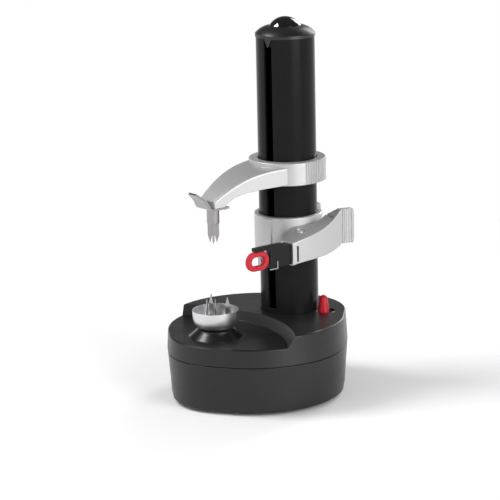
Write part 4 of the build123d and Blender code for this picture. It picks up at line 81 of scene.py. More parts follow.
# Rays that find the rounded normal, and how far it leaves the true one where an edge is marked.
BEVEL_SAMPLES = 6
EDGE_BAND: Band = (0.02, 0.25)
# How far a cutter reaches past the piece that it cuts.
CLEAR = 1.0 * MM


class Slot(Enum):
    """Material slots of the record."""

    SHELL = "black_shell"
    TOWER = "black_tower"
    DOME = "black_dome"
    SILVER = "silver_paint"
    CUP = "cup_steel"
    POLISHED = "polished_steel"
    PLAIN = "plain_steel"
    PLATED = "plated_steel"
    GUARD = "red_guard"
    SWITCH = "red_switch"
    BLACK = "black_part"
    GEAR = "gear_plastic"
    FRAME = "frame_plastic"
    BRONZE = "bronze"
    BRASS = "brass_part"
    CELL = "cell_jacket"
    MOTOR = "motor_can"
    RUBBER = "foot_rubber"


class Lay(Enum):
    """Direction that the marks of a tool run in on metal."""

    ROUND_FOOD = "round the food axis"
    ALONG_X = "along X"
    ALONG_Y = "along Y"
    ALONG_Z = "along Z"


def middle(name: str) -> Point:
    """Middle of a node's box."""
    return tuple((low + high) / 2 for low, high in zip(*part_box(name)))


# ------------------------------------------------------------------ shader graphs
class Wire:
    """Output of a shader node that takes part in arithmetic."""

    def __init__(self, graph: "Graph", socket: bpy.types.NodeSocket) -> None:
        """Keep the socket and the graph it belongs to."""
        self.graph = graph
        self.socket = socket

    def join(self, operation: str, other: "Wire | float", swap: bool = False) -> "Wire":
        """Add a Math node.

        Args:
            operation: The Math node's operation.
            other: The second operand.
            swap: Whether the operands change places.

        Returns:
            The node's result.
        """
        pair = (other, self) if swap else (self, other)
        return self.graph.wire("ShaderNodeMath", {"operation": operation}, dict(enumerate(pair)))

    def __add__(self, other: "Wire | float") -> "Wire":
        """Sum."""
        return self.join("ADD", other)

    def __radd__(self, other: "Wire | float") -> "Wire":
        """Reflected sum."""
        return self.join("ADD", other, swap=True)

    def __sub__(self, other: "Wire | float") -> "Wire":
        """Difference."""
        return self.join("SUBTRACT", other)

    def __rsub__(self, other: "Wire | float") -> "Wire":
        """Reflected difference."""
        return self.join("SUBTRACT", other, swap=True)

    def __mul__(self, other: "Wire | float") -> "Wire":
        """Product."""
        return self.join("MULTIPLY", other)

    def __rmul__(self, other: "Wire | float") -> "Wire":
        """Reflected product."""
        return self.join("MULTIPLY", other, swap=True)

    def __pow__(self, other: "Wire | float") -> "Wire":
        """Power."""
        return self.join("POWER", other)

    def __rpow__(self, other: "Wire | float") -> "Wire":
        """Reflected power."""
        return self.join("POWER", other, swap=True)

    def most(self, other: "Wire | float") -> "Wire":
        """Larger of the two."""
        return self.join("MAXIMUM", other)


class Graph:
    """Shader graph of one material or of the world."""

    def __init__(self, tree: bpy.types.NodeTree) -> None:
        """Empty the tree."""
        self.tree = tree
        self.tree.nodes.clear()

    def node(self, kind: str, settings: dict | None = None,
             sockets: dict | None = None) -> bpy.types.Node:
        """Add one node.

        Args:
            kind: The node's type name.
            settings: Attributes of the node, which are set first.
            sockets: Values or links of its inputs, by name or number.

        Returns:
            The node.
        """
        made = self.tree.nodes.new(kind)
        for key, value in (settings or {}).items():
            setattr(made, key, value)
        for key, value in (sockets or {}).items():
            if isinstance(value, Wire):
                self.tree.links.new(value.socket, made.inputs[key])
            else:
                made.inputs[key].default_value = value
        return made

    def wire(self, kind: str, settings: dict | None = None, sockets: dict | None = None,
             output: int | str = 0) -> Wire:
        """Add one node and take one of its outputs.

        Args:
            kind: The node's type name.
            settings: Attributes of the node, which are set first.
            sockets: Values or links of its inputs.
            output: Name or number of the output.

        Returns:
            The output.
        """
        return Wire(self, self.node(kind, settings, sockets).outputs[output])

    def place(self) -> Wire:
        """Point on the object, in metres."""
        return self.wire("ShaderNodeTexCoord", output="Object")

    def from_food_axis(self) -> Wire:
        """Point on the object, measured from the foot of the food's axis."""
        x, y, _ = middle("food_spindle")
        return self.vector("SUBTRACT", self.place(), (x, y, 0.0))

    def vector(self, operation: str, first: Wire | Point, second: Wire | Point,
               output: int = 0) -> Wire:
        """Add a Vector Math node.

        Args:
            operation: The node's operation.
            first: First vector.
            second: Second vector.
            output: 0 for a vector, 1 for a value.

        Returns:
            The result.
        """
        sockets = {0: first, 1: second}
        return self.wire("ShaderNodeVectorMath", {"operation": operation}, sockets, output)

    def length(self, vector: Wire) -> Wire:
        """Length of a vector."""
        return self.vector("LENGTH", vector, ORIGIN, 1)

    def parts(self, vector: Wire) -> tuple[Wire, ...]:
        """Three numbers of a vector."""
        split = self.node("ShaderNodeSeparateXYZ", None, {0: vector})
        return tuple(Wire(self, output) for output in split.outputs)

    def noise(self, scale: float, detail: float = 2.0, where: Wire | None = None,
              stretch: Point = EVEN) -> Wire:
        """Cloudy value from 0 to 1.

        Args:
            scale: How many spots there are in a metre.
            detail: Number of finer layers.
            where: Point to read; the object's own point where it is left out.
            stretch: Factor for each axis.

        Returns:
            The value.
        """
        point = where or self.place()
        if stretch != EVEN:
            point = self.vector("MULTIPLY", point, stretch)
        sockets = {"Vector": point, "Scale": scale, "Detail": detail}
        return self.wire("ShaderNodeTexNoise", None, sockets)

    def cells(self, scale: float, output: str = "Distance") -> Wire:
        """Cell pattern.

        Args:
            scale: How many cells there are in a metre.
            output: Distance or Color.

        Returns:
            The chosen output.
        """
        sockets = {"Vector": self.place(), "Scale": scale}
        return self.wire("ShaderNodeTexVoronoi", None, sockets, output)

    def span(self, value: Wire, low: float, high: float, to_low: float = 0.0,
             to_high: float = 1.0) -> Wire:
        """Map one range of a value to another, clamped.

        Args:
            value: The value.
            low: Start of the range read.
            high: End of the range read.
            to_low: What the start becomes.
            to_high: What the end becomes.

        Returns:
            The mapped value.
        """
        sockets = {0: value, 1: low, 2: high, 3: to_low, 4: to_high}
        return self.wire("ShaderNodeMapRange", {"clamp": True}, sockets)

    def blend(self, share: Wire | float, first: Wire | Colour, second: Wire | Colour) -> Wire:
        """Mix two colours.

        Args:
            share: Share of the second colour.
            first: First colour.
            second: Second colour.

        Returns:
            The mixed colour.
        """
        pair = [c if isinstance(c, Wire) else (*c, 1.0) for c in (first, second)]
        settings = {"data_type": "RGBA", "clamp_factor": True}
        sockets = {0: share, **dict(zip(MIX_COLOURS, pair))}
        return self.wire("ShaderNodeMix", settings, sockets, MIX_RESULT)

    def rounded(self, radius: float) -> Wire:
        """Normal with the edges rounded to a radius."""
        return self.wire("ShaderNodeBevel", {"samples": BEVEL_SAMPLES}, {"Radius": radius})

    def edges(self, normal: Wire) -> Wire:
        """Mask of the edges, from how far the rounded normal leaves the true one.

        Args:
            normal: The rounded normal.

        Returns:
            0 on a flat face, up to 1 on an edge.
        """
        true_normal = self.wire("ShaderNodeNewGeometry", output="Normal")
        same = self.vector("DOT_PRODUCT", normal, true_normal, 1)
        return self.span(1.0 - same, *EDGE_BAND)

    def bump(self, height: Wire, depth: float, normal: Wire) -> Wire:
        """Relief on top of a normal.

        Args:
            height: Height from 0 to 1.
            depth: Real depth in metres.
            normal: Normal under the relief.

        Returns:
            The new normal.
        """
        sockets = {"Strength": 1.0, "Distance": depth, "Height": height, "Normal": normal}
        return self.wire("ShaderNodeBump", None, sockets)

    def seen(self) -> Wire:
        """Pick the rays that show the surroundings directly, in a mirror or through glass.

        Returns:
            1 for those rays, 0 for the ones that only light the peeler.
        """
        path = self.node("ShaderNodeLightPath")
        names = ("Is Camera Ray", "Is Glossy Ray", "Is Transmission Ray")
        camera, glossy, through = (Wire(self, path.outputs[name]) for name in names)
        return camera.most(glossy).most(through)

    def mixed(self, share: Wire, first: Wire, second: Wire) -> Wire:
        """Mix two shaders.

        Args:
            share: Share of the second shader.
            first: First shader.
            second: Second shader.

        Returns:
            The mixed shader.
        """
        return self.wire("ShaderNodeMixShader", None, {0: share, 1: first, 2: second})

    def surface(self, sockets: dict) -> None:
        """End the graph in a Principled shader.

        Args:
            sockets: Values or links of the shader.
        """
        shader = self.wire("ShaderNodeBsdfPrincipled", None, sockets)
        self.node("ShaderNodeOutputMaterial", None, {"Surface": shader})


# ------------------------------------------------------------------ finishes
@dataclass(frozen=True)
class Finish:
    """What every finish of the peeler has."""

    name: str
    colour: Colour
    roughness: float
    edge_radius: float = 0.35 * MM

    def build(self) -> bpy.types.Material:
        """Make the material.

        Returns:
            The material, with its graph filled.
        """
        material = bpy.data.materials.new(self.name)
        material.use_nodes = True
        material.diffuse_color = (*self.colour, 1.0)
        graph = Graph(material.node_tree)
        self.shade(graph, graph.rounded(self.edge_radius))
        return material

    def shade(self, graph: Graph, normal: Wire) -> None:
        """Fill the graph; each finish does this in its own way."""
        raise NotImplementedError

    def tinted(self, factor: float) -> Colour:
        """The finish's colour, made lighter or darker."""
        return tuple(min(1.0, c * factor) for c in self.colour)


@dataclass(frozen=True)
class MouldedPlastic(Finish):
    """Injection-moulded plastic with an eroded grain, flow marks, and edges made lighter: partly
    rubbed wear, partly a painted highlight.
    """

    grain: float = 2600.0
    grain_depth: float = 0.010 * MM
    fine_grain: float = 3.1
    fine_share: float = 0.35
    mottle: float = 0.12
    mottle_scale: float = 42.0
    flow_scale: float = 18.0
    flow_pull: Point = (1.0, 1.0, 7.0)
    flow_band: Band = (0.6, 1.4)
    flow_rough: Band = (-0.06, 0.07)
    # How much lighter the edges are made: rubbed wear and a painted highlight along them.
    rub_and_sheen: float = 1.5
    rub_scale: float = 160.0
    rub_share: float = 0.35
    rub_polish: float = 0.10
    dust: float = 0.05
    dust_scale: float = 1900.0
    dust_band: Band = (0.66, 0.78)
    dust_colour: Colour = (0.55, 0.54, 0.52)
    specular: float = 0.5

    def shade(self, graph: Graph, normal: Wire) -> None:
        """Grain in the relief, clouds in the colour, polish and a painted highlight on the edges.

        Args:
            graph: The graph to fill.
            normal: The rounded normal.
        """
        clouds = graph.noise(self.mottle_scale, detail=3.0)
        flow = graph.noise(self.flow_scale, detail=4.0, stretch=self.flow_pull)
        specks = graph.span(graph.noise(self.dust_scale, detail=1.0), *self.dust_band)
        # The edges are made lighter in the colour: partly rubbed wear, partly a painted highlight
        # along them.
        rubbed = graph.edges(normal) * graph.noise(self.rub_scale, detail=3.0)
        dark, light = self.tinted(1.0 - self.mottle), self.tinted(1.0 + self.mottle)
        dusty = graph.blend(specks * self.dust, graph.blend(clouds, dark, light), self.dust_colour)
        rough = graph.span(clouds + flow, *self.flow_band,
                           *(self.roughness + change for change in self.flow_rough))
        fine = graph.noise(self.grain * self.fine_grain, detail=1.0)
        grain = graph.noise(self.grain) + self.fine_share * fine
        graph.surface({
            "Base Color": graph.blend(rubbed * self.rub_share, dusty, self.tinted(self.rub_and_sheen + 1.0)),
            "Roughness": self.smoother(graph, rough - self.rub_polish * rubbed),
            "Specular IOR Level": self.specular,
            "Normal": graph.bump(grain, self.grain_depth, normal),
        })

    def smoother(self, graph: Graph, rough: Wire) -> Wire:
        """Roughness where the mould is polished; the plain finish has no such place."""
        return rough


@dataclass(frozen=True)
class CoverPlastic(MouldedPlastic):
    """Cover's plastic, smoother on the cone under the cup, where the mould is polished."""

    polish: float = 0.14
    cone: Band = (21.0 * MM, 23.5 * MM)

    def smoother(self, graph: Graph, rough: Wire) -> Wire:
        """Take the polish off the roughness round the food axis.

        Args:
            graph: The graph to fill.
            rough: Roughness of the plain finish.

        Returns:
            The roughness with the polished cone.
        """
        away = graph.length(graph.vector("MULTIPLY", graph.from_food_axis(), LEVEL))
        return rough - self.polish * graph.span(away, *self.cone, 1.0, 0.0)


@dataclass(frozen=True)
class GlossPlastic(Finish):
    """Polished plastic with a slight orange peel, hairlines and faint smudges."""

    peel: float = 420.0
    peel_depth: float = 0.012 * MM
    ripple: float = 5200.0
    ripple_share: float = 0.12
    smudge: float = 0.10
    smudge_scale: float = 55.0
    smudge_band: Band = (0.45, 0.75)
    hairline: float = 0.08
    hairline_scale: float = 300.0
    hairline_pull: Point = (1.0, 9.0, 1.0)
    hairline_band: Band = (0.62, 0.75)
    depth_scale: float = 70.0
    depth_tints: Band = (0.86, 1.1)
    rub_and_sheen: float = 0.2
    rub_tint: float = 1.7
    coat: float = 0.1
    coat_roughness: float = 0.06
    subsurface: float = 0.0
    subsurface_scale: float = 2.0 * MM
    specular: float = 0.3

    def shade(self, graph: Graph, normal: Wire) -> None:
        """Smudges in the roughness, orange peel in the relief.

        Args:
            graph: The graph to fill.
            normal: The rounded normal.
        """
        smudges = graph.span(graph.noise(self.smudge_scale, detail=4.0), *self.smudge_band)
        strokes = graph.noise(self.hairline_scale, stretch=self.hairline_pull)
        hairlines = graph.span(strokes, *self.hairline_band)
        dark, light = (self.tinted(tint) for tint in self.depth_tints)
        colour = graph.blend(graph.noise(self.depth_scale), dark, light)
        rubbed = graph.edges(normal) * self.rub_and_sheen
        ripple = graph.noise(self.ripple, detail=1.0)
        waves = graph.noise(self.peel, detail=1.0) + self.ripple_share * ripple
        graph.surface({
            "Base Color": graph.blend(rubbed, colour, self.tinted(self.rub_tint)),
            "Roughness": self.roughness + self.smudge * smudges + self.hairline * hairlines,
            "Specular IOR Level": self.specular,
            "Coat Weight": self.coat,
            "Coat Roughness": self.coat_roughness,
            "Subsurface Weight": self.subsurface,
            "Subsurface Scale": self.subsurface_scale,
            "Normal": graph.bump(waves, self.peel_depth, normal),
        })


@dataclass(frozen=True)
class FlakePaint(Finish):
    """Silver paint on plastic, with fine flakes under a thin lacquer."""

    metallic: float = 0.45
    flake: float = 5200.0
    flake_tint: float = 1.45
    flake_polish: float = 0.05
    flake_relief: float = 0.5
    sparkle: float = 0.20
    cloud_scale: float = 36.0
    cloud_tints: Band = (0.95, 1.05)
    rub_scale: float = 240.0
    rub_band: Band = (0.45, 0.7)
    rub_share: float = 0.12
    rub_tint: float = 1.2
    handling: float = 0.06
    handling_scale: float = 26.0
    handling_band: Band = (0.4, 0.7)
    skin_scale: float = 900.0
    skin_depth: float = 0.006 * MM
    coat: float = 0.12
    coat_roughness: float = 0.25

    def shade(self, graph: Graph, normal: Wire) -> None:
        """Flakes in the colour and the relief, wear on the edges.

        Args:
            graph: The graph to fill.
            normal: The rounded normal.
        """
        flakes = graph.wire("ShaderNodeSeparateColor", None, {0: graph.cells(self.flake, "Color")})
        dark, light = (self.tinted(tint) for tint in self.cloud_tints)
        pearly = graph.blend(graph.noise(self.cloud_scale, detail=3.0), dark, light)
        colour = graph.blend(flakes * self.sparkle, pearly, self.tinted(self.flake_tint))
        patches = graph.span(graph.noise(self.rub_scale, detail=3.0), *self.rub_band)
        rubbed = graph.edges(normal) * patches * self.rub_share
        handled = graph.span(graph.noise(self.handling_scale, detail=4.0), *self.handling_band)
        skin = flakes * self.flake_relief + graph.noise(self.skin_scale)
        graph.surface({
            "Base Color": graph.blend(rubbed, colour, self.tinted(self.rub_tint)),
            "Metallic": self.metallic + rubbed,
            "Roughness": self.roughness + self.handling * handled - self.flake_polish * flakes,
            "Coat Weight": self.coat,
            "Coat Roughness": self.coat_roughness,
            "Normal": graph.bump(skin, self.skin_depth, normal),
        })


@dataclass(frozen=True)
class WorkedMetal(Finish):
    """Metal with the marks of rolling, turning or brushing."""

    lay: Lay = Lay.ALONG_X
    marks: float = 1500.0
    mark_depth: float = 0.004 * MM
    mark_pull: float = 0.03
    turn_pull: float = 4.0 * MM
    variation: float = 0.10
    tarnish: float = 0.24
    tarnish_scale: float = 60.0
    tarnish_tint: float = 0.62
    tarnish_dulling: float = 0.05
    wear: float = 0.4
    wear_tint: float = 1.25
    wear_polish: float = 0.03
    smoothest: float = 0.04

    def along(self, graph: Graph) -> Wire:
        """Coordinates in which the marks run along the first axis.

        Args:
            graph: The graph to fill.

        Returns:
            The stretched point.
        """
        if self.lay is Lay.ROUND_FOOD:
            x, y, z = graph.parts(graph.from_food_axis())
            radius = (x * x + y * y) ** 0.5
            sockets = {0: self.turn_pull * y.join("ARCTAN2", x), 1: radius, 2: z}
            return graph.wire("ShaderNodeCombineXYZ", None, sockets)
        stretch = {
            Lay.ALONG_X: (self.mark_pull, 1.0, 1.0),
            Lay.ALONG_Y: (1.0, self.mark_pull, 1.0),
            Lay.ALONG_Z: (1.0, 1.0, self.mark_pull),
        }
        return graph.vector("MULTIPLY", graph.place(), stretch[self.lay])

    def shade(self, graph: Graph, normal: Wire) -> None:
        """Tool marks in the relief and the roughness, a breath of tarnish in the colour.

        Args:
            graph: The graph to fill.
            normal: The rounded normal.
        """
        marks = graph.noise(self.marks, detail=3.0, where=self.along(graph))
        clouds = graph.noise(self.tarnish_scale, detail=3.0)
        worn = graph.edges(normal)
        stain = self.tinted(self.tarnish_tint)
        stained = graph.blend(clouds * self.tarnish, self.colour, stain)
        rough = self.roughness + self.variation * (marks - 0.5)
        rough = rough + self.tarnish_dulling * clouds - self.wear_polish * worn
        graph.surface({
            "Base Color": graph.blend(worn * self.wear, stained, self.tinted(self.wear_tint)),
            "Metallic": 1.0,
            "Roughness": rough.most(self.smoothest),
            "Normal": graph.bump(marks, self.mark_depth, normal),
        })


@dataclass(frozen=True)
class SinteredMetal(Finish):
    """Porous sintered bronze."""

    metallic: float = 0.9
    pores: float = 2400.0
    pore_band: Band = (0.15, 0.5)
    pore_tint: float = 0.3
    pore_depth: float = 0.03 * MM
    stain_scale: float = 350.0
    stain_tint: float = 0.6
    stain_dulling: float = 0.15

    def shade(self, graph: Graph, normal: Wire) -> None:
        """Pores in the relief and the colour.

        Args:
            graph: The graph to fill.
            normal: The rounded normal.
        """
        pores = graph.span(graph.cells(self.pores), *self.pore_band)
        stain = graph.noise(self.stain_scale, detail=3.0)
        colour = graph.blend(stain, self.tinted(self.stain_tint), self.colour)
        graph.surface({
            "Base Color": graph.blend(pores, self.tinted(self.pore_tint), colour),
            "Metallic": self.metallic,
            "Roughness": self.roughness + self.stain_dulling * stain,
            "Normal": graph.bump(pores, self.pore_depth, normal),
        })


@dataclass(frozen=True)
class SoftRubber(Finish):
    """Moulded rubber with a dull skin and a little dust."""

    pebbles: float = 1500.0
    pebble_tints: Band = (0.8, 1.3)
    pebble_depth: float = 0.03 * MM
    pebble_dulling: float = 0.08
    dust: float = 0.12
    dust_scale: float = 210.0
    dust_band: Band = (0.5, 0.75)
    dust_colour: Colour = (0.4, 0.39, 0.37)
    specular: float = 0.35

    def shade(self, graph: Graph, normal: Wire) -> None:
        """Pebbled relief with pale dust in it.

        Args:
            graph: The graph to fill.
            normal: The rounded normal.
        """
        pebbles = graph.noise(self.pebbles)
        specks = graph.span(graph.noise(self.dust_scale, detail=4.0), *self.dust_band)
        dark, light = (self.tinted(tint) for tint in self.pebble_tints)
        base = graph.blend(pebbles, dark, light)
        graph.surface({
            "Base Color": graph.blend(specks * self.dust, base, self.dust_colour),
            "Roughness": self.roughness + self.pebble_dulling * pebbles,
            "Specular IOR Level": self.specular,
            "Normal": graph.bump(pebbles, self.pebble_depth, normal),
        })


@dataclass(frozen=True)
class CellJacket(Finish):
    """Printed foil jacket of a battery cell with bare metal ends."""

    jacket_end: Band = (25.2 * MM, 25.3 * MM)
    bare_colour: Colour = (0.62, 0.62, 0.63)
    stripe_start: Band = (16.0 * MM, 16.2 * MM)
    stripe_colour: Colour = (0.32, 0.34, 0.33)
    metallic: float = 0.2
    wrinkle_scale: float = 500.0
    wrinkle_pull: Point = (1.0, 4.0, 4.0)
    wrinkle_share: float = 0.4
    wrinkle_tint: float = 0.7
    wrinkle_depth: float = 0.02 * MM
    wrinkle_dulling: float = 0.1

    def shade(self, graph: Graph, normal: Wire) -> None:
        """Metal past the jacket's ends, a pale stripe before each of them.

        Args:
            graph: The graph to fill.
            normal: The rounded normal.
        """
        across = graph.parts(graph.place())[0].join("ABSOLUTE", 0.0)
        bare = graph.span(across, *self.jacket_end)
        stripe = graph.span(across, *self.stripe_start) * (1.0 - bare)
        wrinkles = graph.noise(self.wrinkle_scale, detail=3.0, stretch=self.wrinkle_pull)
        foil = graph.blend(stripe, self.colour, self.stripe_colour)
        creased = self.tinted(self.wrinkle_tint)
        shaded = graph.blend(wrinkles * self.wrinkle_share, foil, creased)
        graph.surface({
            "Base Color": graph.blend(bare, shaded, self.bare_colour),
            "Metallic": graph.span(bare, 0.0, 1.0, self.metallic, 1.0),
            "Roughness": self.roughness + self.wrinkle_dulling * wrinkles,
            "Normal": graph.bump(wrinkles, self.wrinkle_depth, normal),
        })


# The shell's edges are made much lighter: a painted highlight along its edges, besides rubbed
# wear.
SHELL_LOOK: dict[str, Colour | float] = {
    "colour": (0.008, 0.008, 0.0085), "roughness": 0.38, "edge_radius": 0.8 * MM, "rub_and_sheen": 11.0,
    "specular": 0.42,
}
FINISHES: dict[Slot, Finish] = {
    Slot.SHELL: MouldedPlastic("shell_plastic", **SHELL_LOOK),
    Slot.TOWER: MouldedPlastic("tower_plastic", (0.010, 0.010, 0.011), roughness=0.20,
                               edge_radius=0.4 * MM, grain=1400.0, grain_depth=0.003 * MM,
                               dust=0.01, specular=0.08),
    Slot.DOME: GlossPlastic("dome_plastic", (0.003, 0.003, 0.004), roughness=0.05,
                            smudge=0.02, coat=0.5, specular=0.8),
    Slot.SILVER: FlakePaint("silver_paint", (0.47, 0.47, 0.475), roughness=0.40,
                            edge_radius=0.5 * MM),
    Slot.CUP: WorkedMetal("cup_steel", (0.70, 0.70, 0.71), roughness=0.32,
                          lay=Lay.ROUND_FOOD, marks=2600.0, mark_depth=0.0003 * MM,
                          variation=0.03, tarnish=0.04),
    Slot.POLISHED: WorkedMetal("polished_steel", (0.38, 0.37, 0.37), roughness=0.18,
                               edge_radius=0.25 * MM, lay=Lay.ALONG_Y,
                               mark_depth=0.0008 * MM, variation=0.06, tarnish=0.12),
    Slot.PLAIN: WorkedMetal("turned_steel", (0.50, 0.50, 0.51), roughness=0.3,
                            edge_radius=0.25 * MM, lay=Lay.ALONG_Z),
    Slot.PLATED: WorkedMetal("plated_steel", (0.60, 0.60, 0.58), roughness=0.2,
                             edge_radius=0.2 * MM, lay=Lay.ALONG_Z),
    Slot.GUARD: GlossPlastic("guard_plastic", (0.50, 0.028, 0.045), roughness=0.34,
                             edge_radius=0.3 * MM, coat=0.0, subsurface=0.05, specular=0.14),
    Slot.SWITCH: GlossPlastic("switch_plastic", (0.50, 0.007, 0.026), roughness=0.30,
                              subsurface=0.05, specular=0.2),
    Slot.BLACK: GlossPlastic("holder_plastic", (0.007, 0.007, 0.008), roughness=0.32,
                             coat=0.0, specular=0.22),
    Slot.GEAR: MouldedPlastic("gear_plastic", (0.72, 0.70, 0.64), roughness=0.42,
                              edge_radius=0.15 * MM, mottle=0.05, rub_and_sheen=0.1),
    Slot.FRAME: MouldedPlastic("frame_plastic", (0.10, 0.10, 0.105), roughness=0.5,
                               edge_radius=0.3 * MM),
    Slot.BRONZE: SinteredMetal("sintered_bronze", (0.55, 0.36, 0.16), roughness=0.38,
                               edge_radius=0.15 * MM),
    Slot.BRASS: WorkedMetal("machined_brass", (0.66, 0.47, 0.19), roughness=0.24,
                            edge_radius=0.1 * MM, lay=Lay.ALONG_Z),
    Slot.CELL: CellJacket("cell_jacket", (0.05, 0.16, 0.10), roughness=0.32,
                          edge_radius=0.3 * MM),
    Slot.MOTOR: WorkedMetal("motor_can", (0.58, 0.58, 0.57), roughness=0.28,
                            lay=Lay.ALONG_Z, tarnish=0.4),
    Slot.RUBBER: SoftRubber("foot_rubber", (0.02, 0.02, 0.02), roughness=0.75,
                            edge_radius=0.5 * MM),
}
COVER = CoverPlastic("cover_plastic", **SHELL_LOOK)
CAP = MouldedPlastic("cap_plastic", (0.009, 0.009, 0.010), roughness=0.36,
                     edge_radius=0.5 * MM, grain=1400.0, grain_depth=0.003 * MM, dust=0.01)
PRINT = FlakePaint("pale_print", (0.62, 0.62, 0.62), roughness=0.5, edge_radius=0.05 * MM,
                   metallic=0.0)


class Wardrobe:
    """Materials of the peeler, each made once and shared between its pieces."""

    def __init__(self, record: dict) -> None:
        """Read which slot each node takes.

        Args:
            record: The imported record.
        """
        self.slots = {row["node"]: Slot(row["material_slot"]) for row in record["subparts"]}
        self.made: dict[str, bpy.types.Material] = {}

    def material(self, finish: Finish) -> bpy.types.Material:
        """Material of a finish, made the first time that it is asked for.

        Args:
            finish: The finish.

        Returns:
            The material.
        """
        if finish.name not in self.made:
            self.made[finish.name] = finish.build()
        return self.made[finish.name]

    def dress(self, piece: bpy.types.Object, finish: Finish) -> None:
        """Give a piece one finish.

        Args:
            piece: The object.
            finish: Its finish.
        """
        piece.data.materials.clear()
        piece.data.materials.append(self.material(finish))


# ------------------------------------------------------------------ mesh helpers
def linked(name: str, data: bpy.types.ID) -> bpy.types.Object:
    """Put a mesh, a lamp or a camera into the scene.

    Args:
        name: The object's name.
        data: What the object holds.

    Returns:
        The object.
    """
    made = bpy.data.objects.new(name, data)
    bpy.context.scene.collection.objects.link(made)
    return made


def mesh_object(name: str, shape: bmesh.types.BMesh, smooth: bool = False) -> bpy.types.Object:
    """Turn a bmesh into an object.

    Args:
        name: The piece's name.
        shape: Its mesh, which is freed.
        smooth: Whether its faces are shaded smooth.

    Returns:
        The object, linked into the scene.
    """
    bmesh.ops.recalc_face_normals(shape, faces=shape.faces)
    mesh = bpy.data.meshes.new(name)
    shape.to_mesh(mesh)
    shape.free()
    if smooth:
        mesh.shade_smooth()
    else:
        mesh.shade_flat()
    return linked(name, mesh)


def apply_modifiers(piece: bpy.types.Object) -> None:
    """Bake a piece's modifiers into its mesh.

    Args:
        piece: The object.
    """
    graph = bpy.context.evaluated_depsgraph_get()
    mesh = bpy.data.meshes.new_from_object(piece.evaluated_get(graph))
    piece.modifiers.clear()
    piece.data = mesh


def lathe(shape: bmesh.types.BMesh, profile: list[tuple[float, float]], centre: Point,
          steps: int = 48) -> None:
    """Add a closed turned form around an upright axis.

    Args:
        shape: Mesh that takes it.
        profile: Radius and height of each point, first and last on the axis.
        centre: Foot of the axis.
        steps: Number of faces round the axis.
    """
    rings = []
    for radius, height in profile:
        turns = steps if radius > 0 else 1
        angles = [2 * math.pi * i / steps for i in range(turns)]
        rings.append([
            shape.verts.new((centre[0] + radius * math.cos(a), centre[1] + radius * math.sin(a),
                             centre[2] + height)) for a in angles
        ])
    for low, high in zip(rings, rings[1:]):
        for i in range(steps):
            corners = [low[i % len(low)], low[(i + 1) % len(low)],
                       high[(i + 1) % len(high)], high[i % len(high)]]
            corners = list(dict.fromkeys(corners))
            if len(corners) > 2:
                shape.faces.new(corners)


def bar(shape: bmesh.types.BMesh, low: Point, high: Point) -> None:
    """Add a box between two corners.

    Args:
        shape: Mesh that takes it.
        low: Lowest corner.
        high: Highest corner.
    """
    size = Vector(high) - Vector(low)
    centre = (Vector(high) + Vector(low)) / 2
    place = Matrix.Translation(centre) @ Matrix.Diagonal((*size, 1.0))
    bmesh.ops.create_cube(shape, size=1.0, matrix=place)


def cut(piece: bpy.types.Object, low: Point, high: Point) -> None:
    """Take a box out of a piece.

    Args:
        piece: What is cut.
        low: Lowest corner of the box.
        high: Highest corner of the box.
    """
    shape = bmesh.new()
    bar(shape, low, high)
    cutter = mesh_object(piece.name + "_cutter", shape, smooth=True)
    step = piece.modifiers.new("cut", "BOOLEAN")
    step.operation = "DIFFERENCE"
    step.solver = "EXACT"
    step.object = cutter
    apply_modifiers(piece)
    bpy.data.objects.remove(cutter)


def soften(piece: bpy.types.Object, width: float, segments: int = 3) -> None:
    """Round a piece's sharp edges in its mesh.

    Args:
        piece: The object.
        width: Width of the rounding.
        segments: Number of faces across it.
    """
    step = piece.modifiers.new("soften", "BEVEL")
    step.width = width
    step.segments = segments
    step.limit_method = "ANGLE"
    step.harden_normals = True
    apply_modifiers(piece)


# ------------------------------------------------------------------ sub-assemblies
@dataclass
class Assembly:
    """Part of the peeler that is dressed and detailed as one."""

    frame: dict
    wardrobe: Wardrobe
    body: str = "base"
    nodes: tuple[str, ...] = ()
    special: dict[str, Finish] = field(default_factory=dict)

    def make(self) -> None:
        """Dress the nodes and add the details."""
        for name in self.nodes:
            slot = self.wardrobe.slots[name]
            finish = self.special.get(name, FINISHES[slot])
            self.wardrobe.dress(self.frame["nodes"][name], finish)
        self.details()
        LOG.info("%s: %d nodes dressed", type(self).__name__, len(self.nodes))

    def details(self) -> None:
        """Add what the model's own pieces lack; some assemblies need nothing."""

    def settle(self, piece: bpy.types.Object, slot: Slot, replaced: tuple[str, ...] = (),
               finish: Finish | None = None) -> None:
        """Hand a new piece over to the frame.

        Args:
            piece: The object.
            slot: The record's slot for its finish.
            replaced: Nodes that it stands for.
            finish: Its finish, where it isn't the slot's own.
        """
        self.wardrobe.dress(piece, finish or FINISHES[slot])
        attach(piece, self.body)
        if replaced:
            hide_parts(*replaced)
        LOG.info("piece %s rides on %s", piece.name, self.body)


@dataclass
class ScrewHead:
    """Pan-headed screw with a cross recess, seen from below."""

    head_radius: float
    head_height: float
    shank_radius: float
    crown_share: float = 0.55
    crown_steps: int = 8
    recess_reach: float = 0.55
    recess_half_width: float = 0.13
    recess_depth: float = 0.62

    def add(self, name: str, seat: Point, top: float) -> bpy.types.Object:
        """Build the screw with its head under its seat.

        Args:
            name: The piece's name.
            seat: Centre of the face that the head lies against.
            top: Height of the shank's end.

        Returns:
            The object.
        """
        head = self.head_radius
        drop = self.head_height
        turns = [math.pi / 2 * i / self.crown_steps for i in range(self.crown_steps + 1)]
        crown = [(head * math.sin(t), -drop + self.crown_share * drop * (1 - math.cos(t)))
                 for t in turns]
        end = top - seat[2]
        shank = [(head, 0.0), (self.shank_radius, 0.0), (self.shank_radius, end), (0.0, end)]
        shape = bmesh.new()
        lathe(shape, crown + shank, seat)
        screw = mesh_object(name, shape)
        reach = head * self.recess_reach
        half = head * self.recess_half_width
        face = seat[2] - drop
        for x, y in ((reach, half), (half, reach)):
            cut(screw, (seat[0] - x, seat[1] - y, face - CLEAR),
                (seat[0] + x, seat[1] + y, face + drop * self.recess_depth))
        return screw


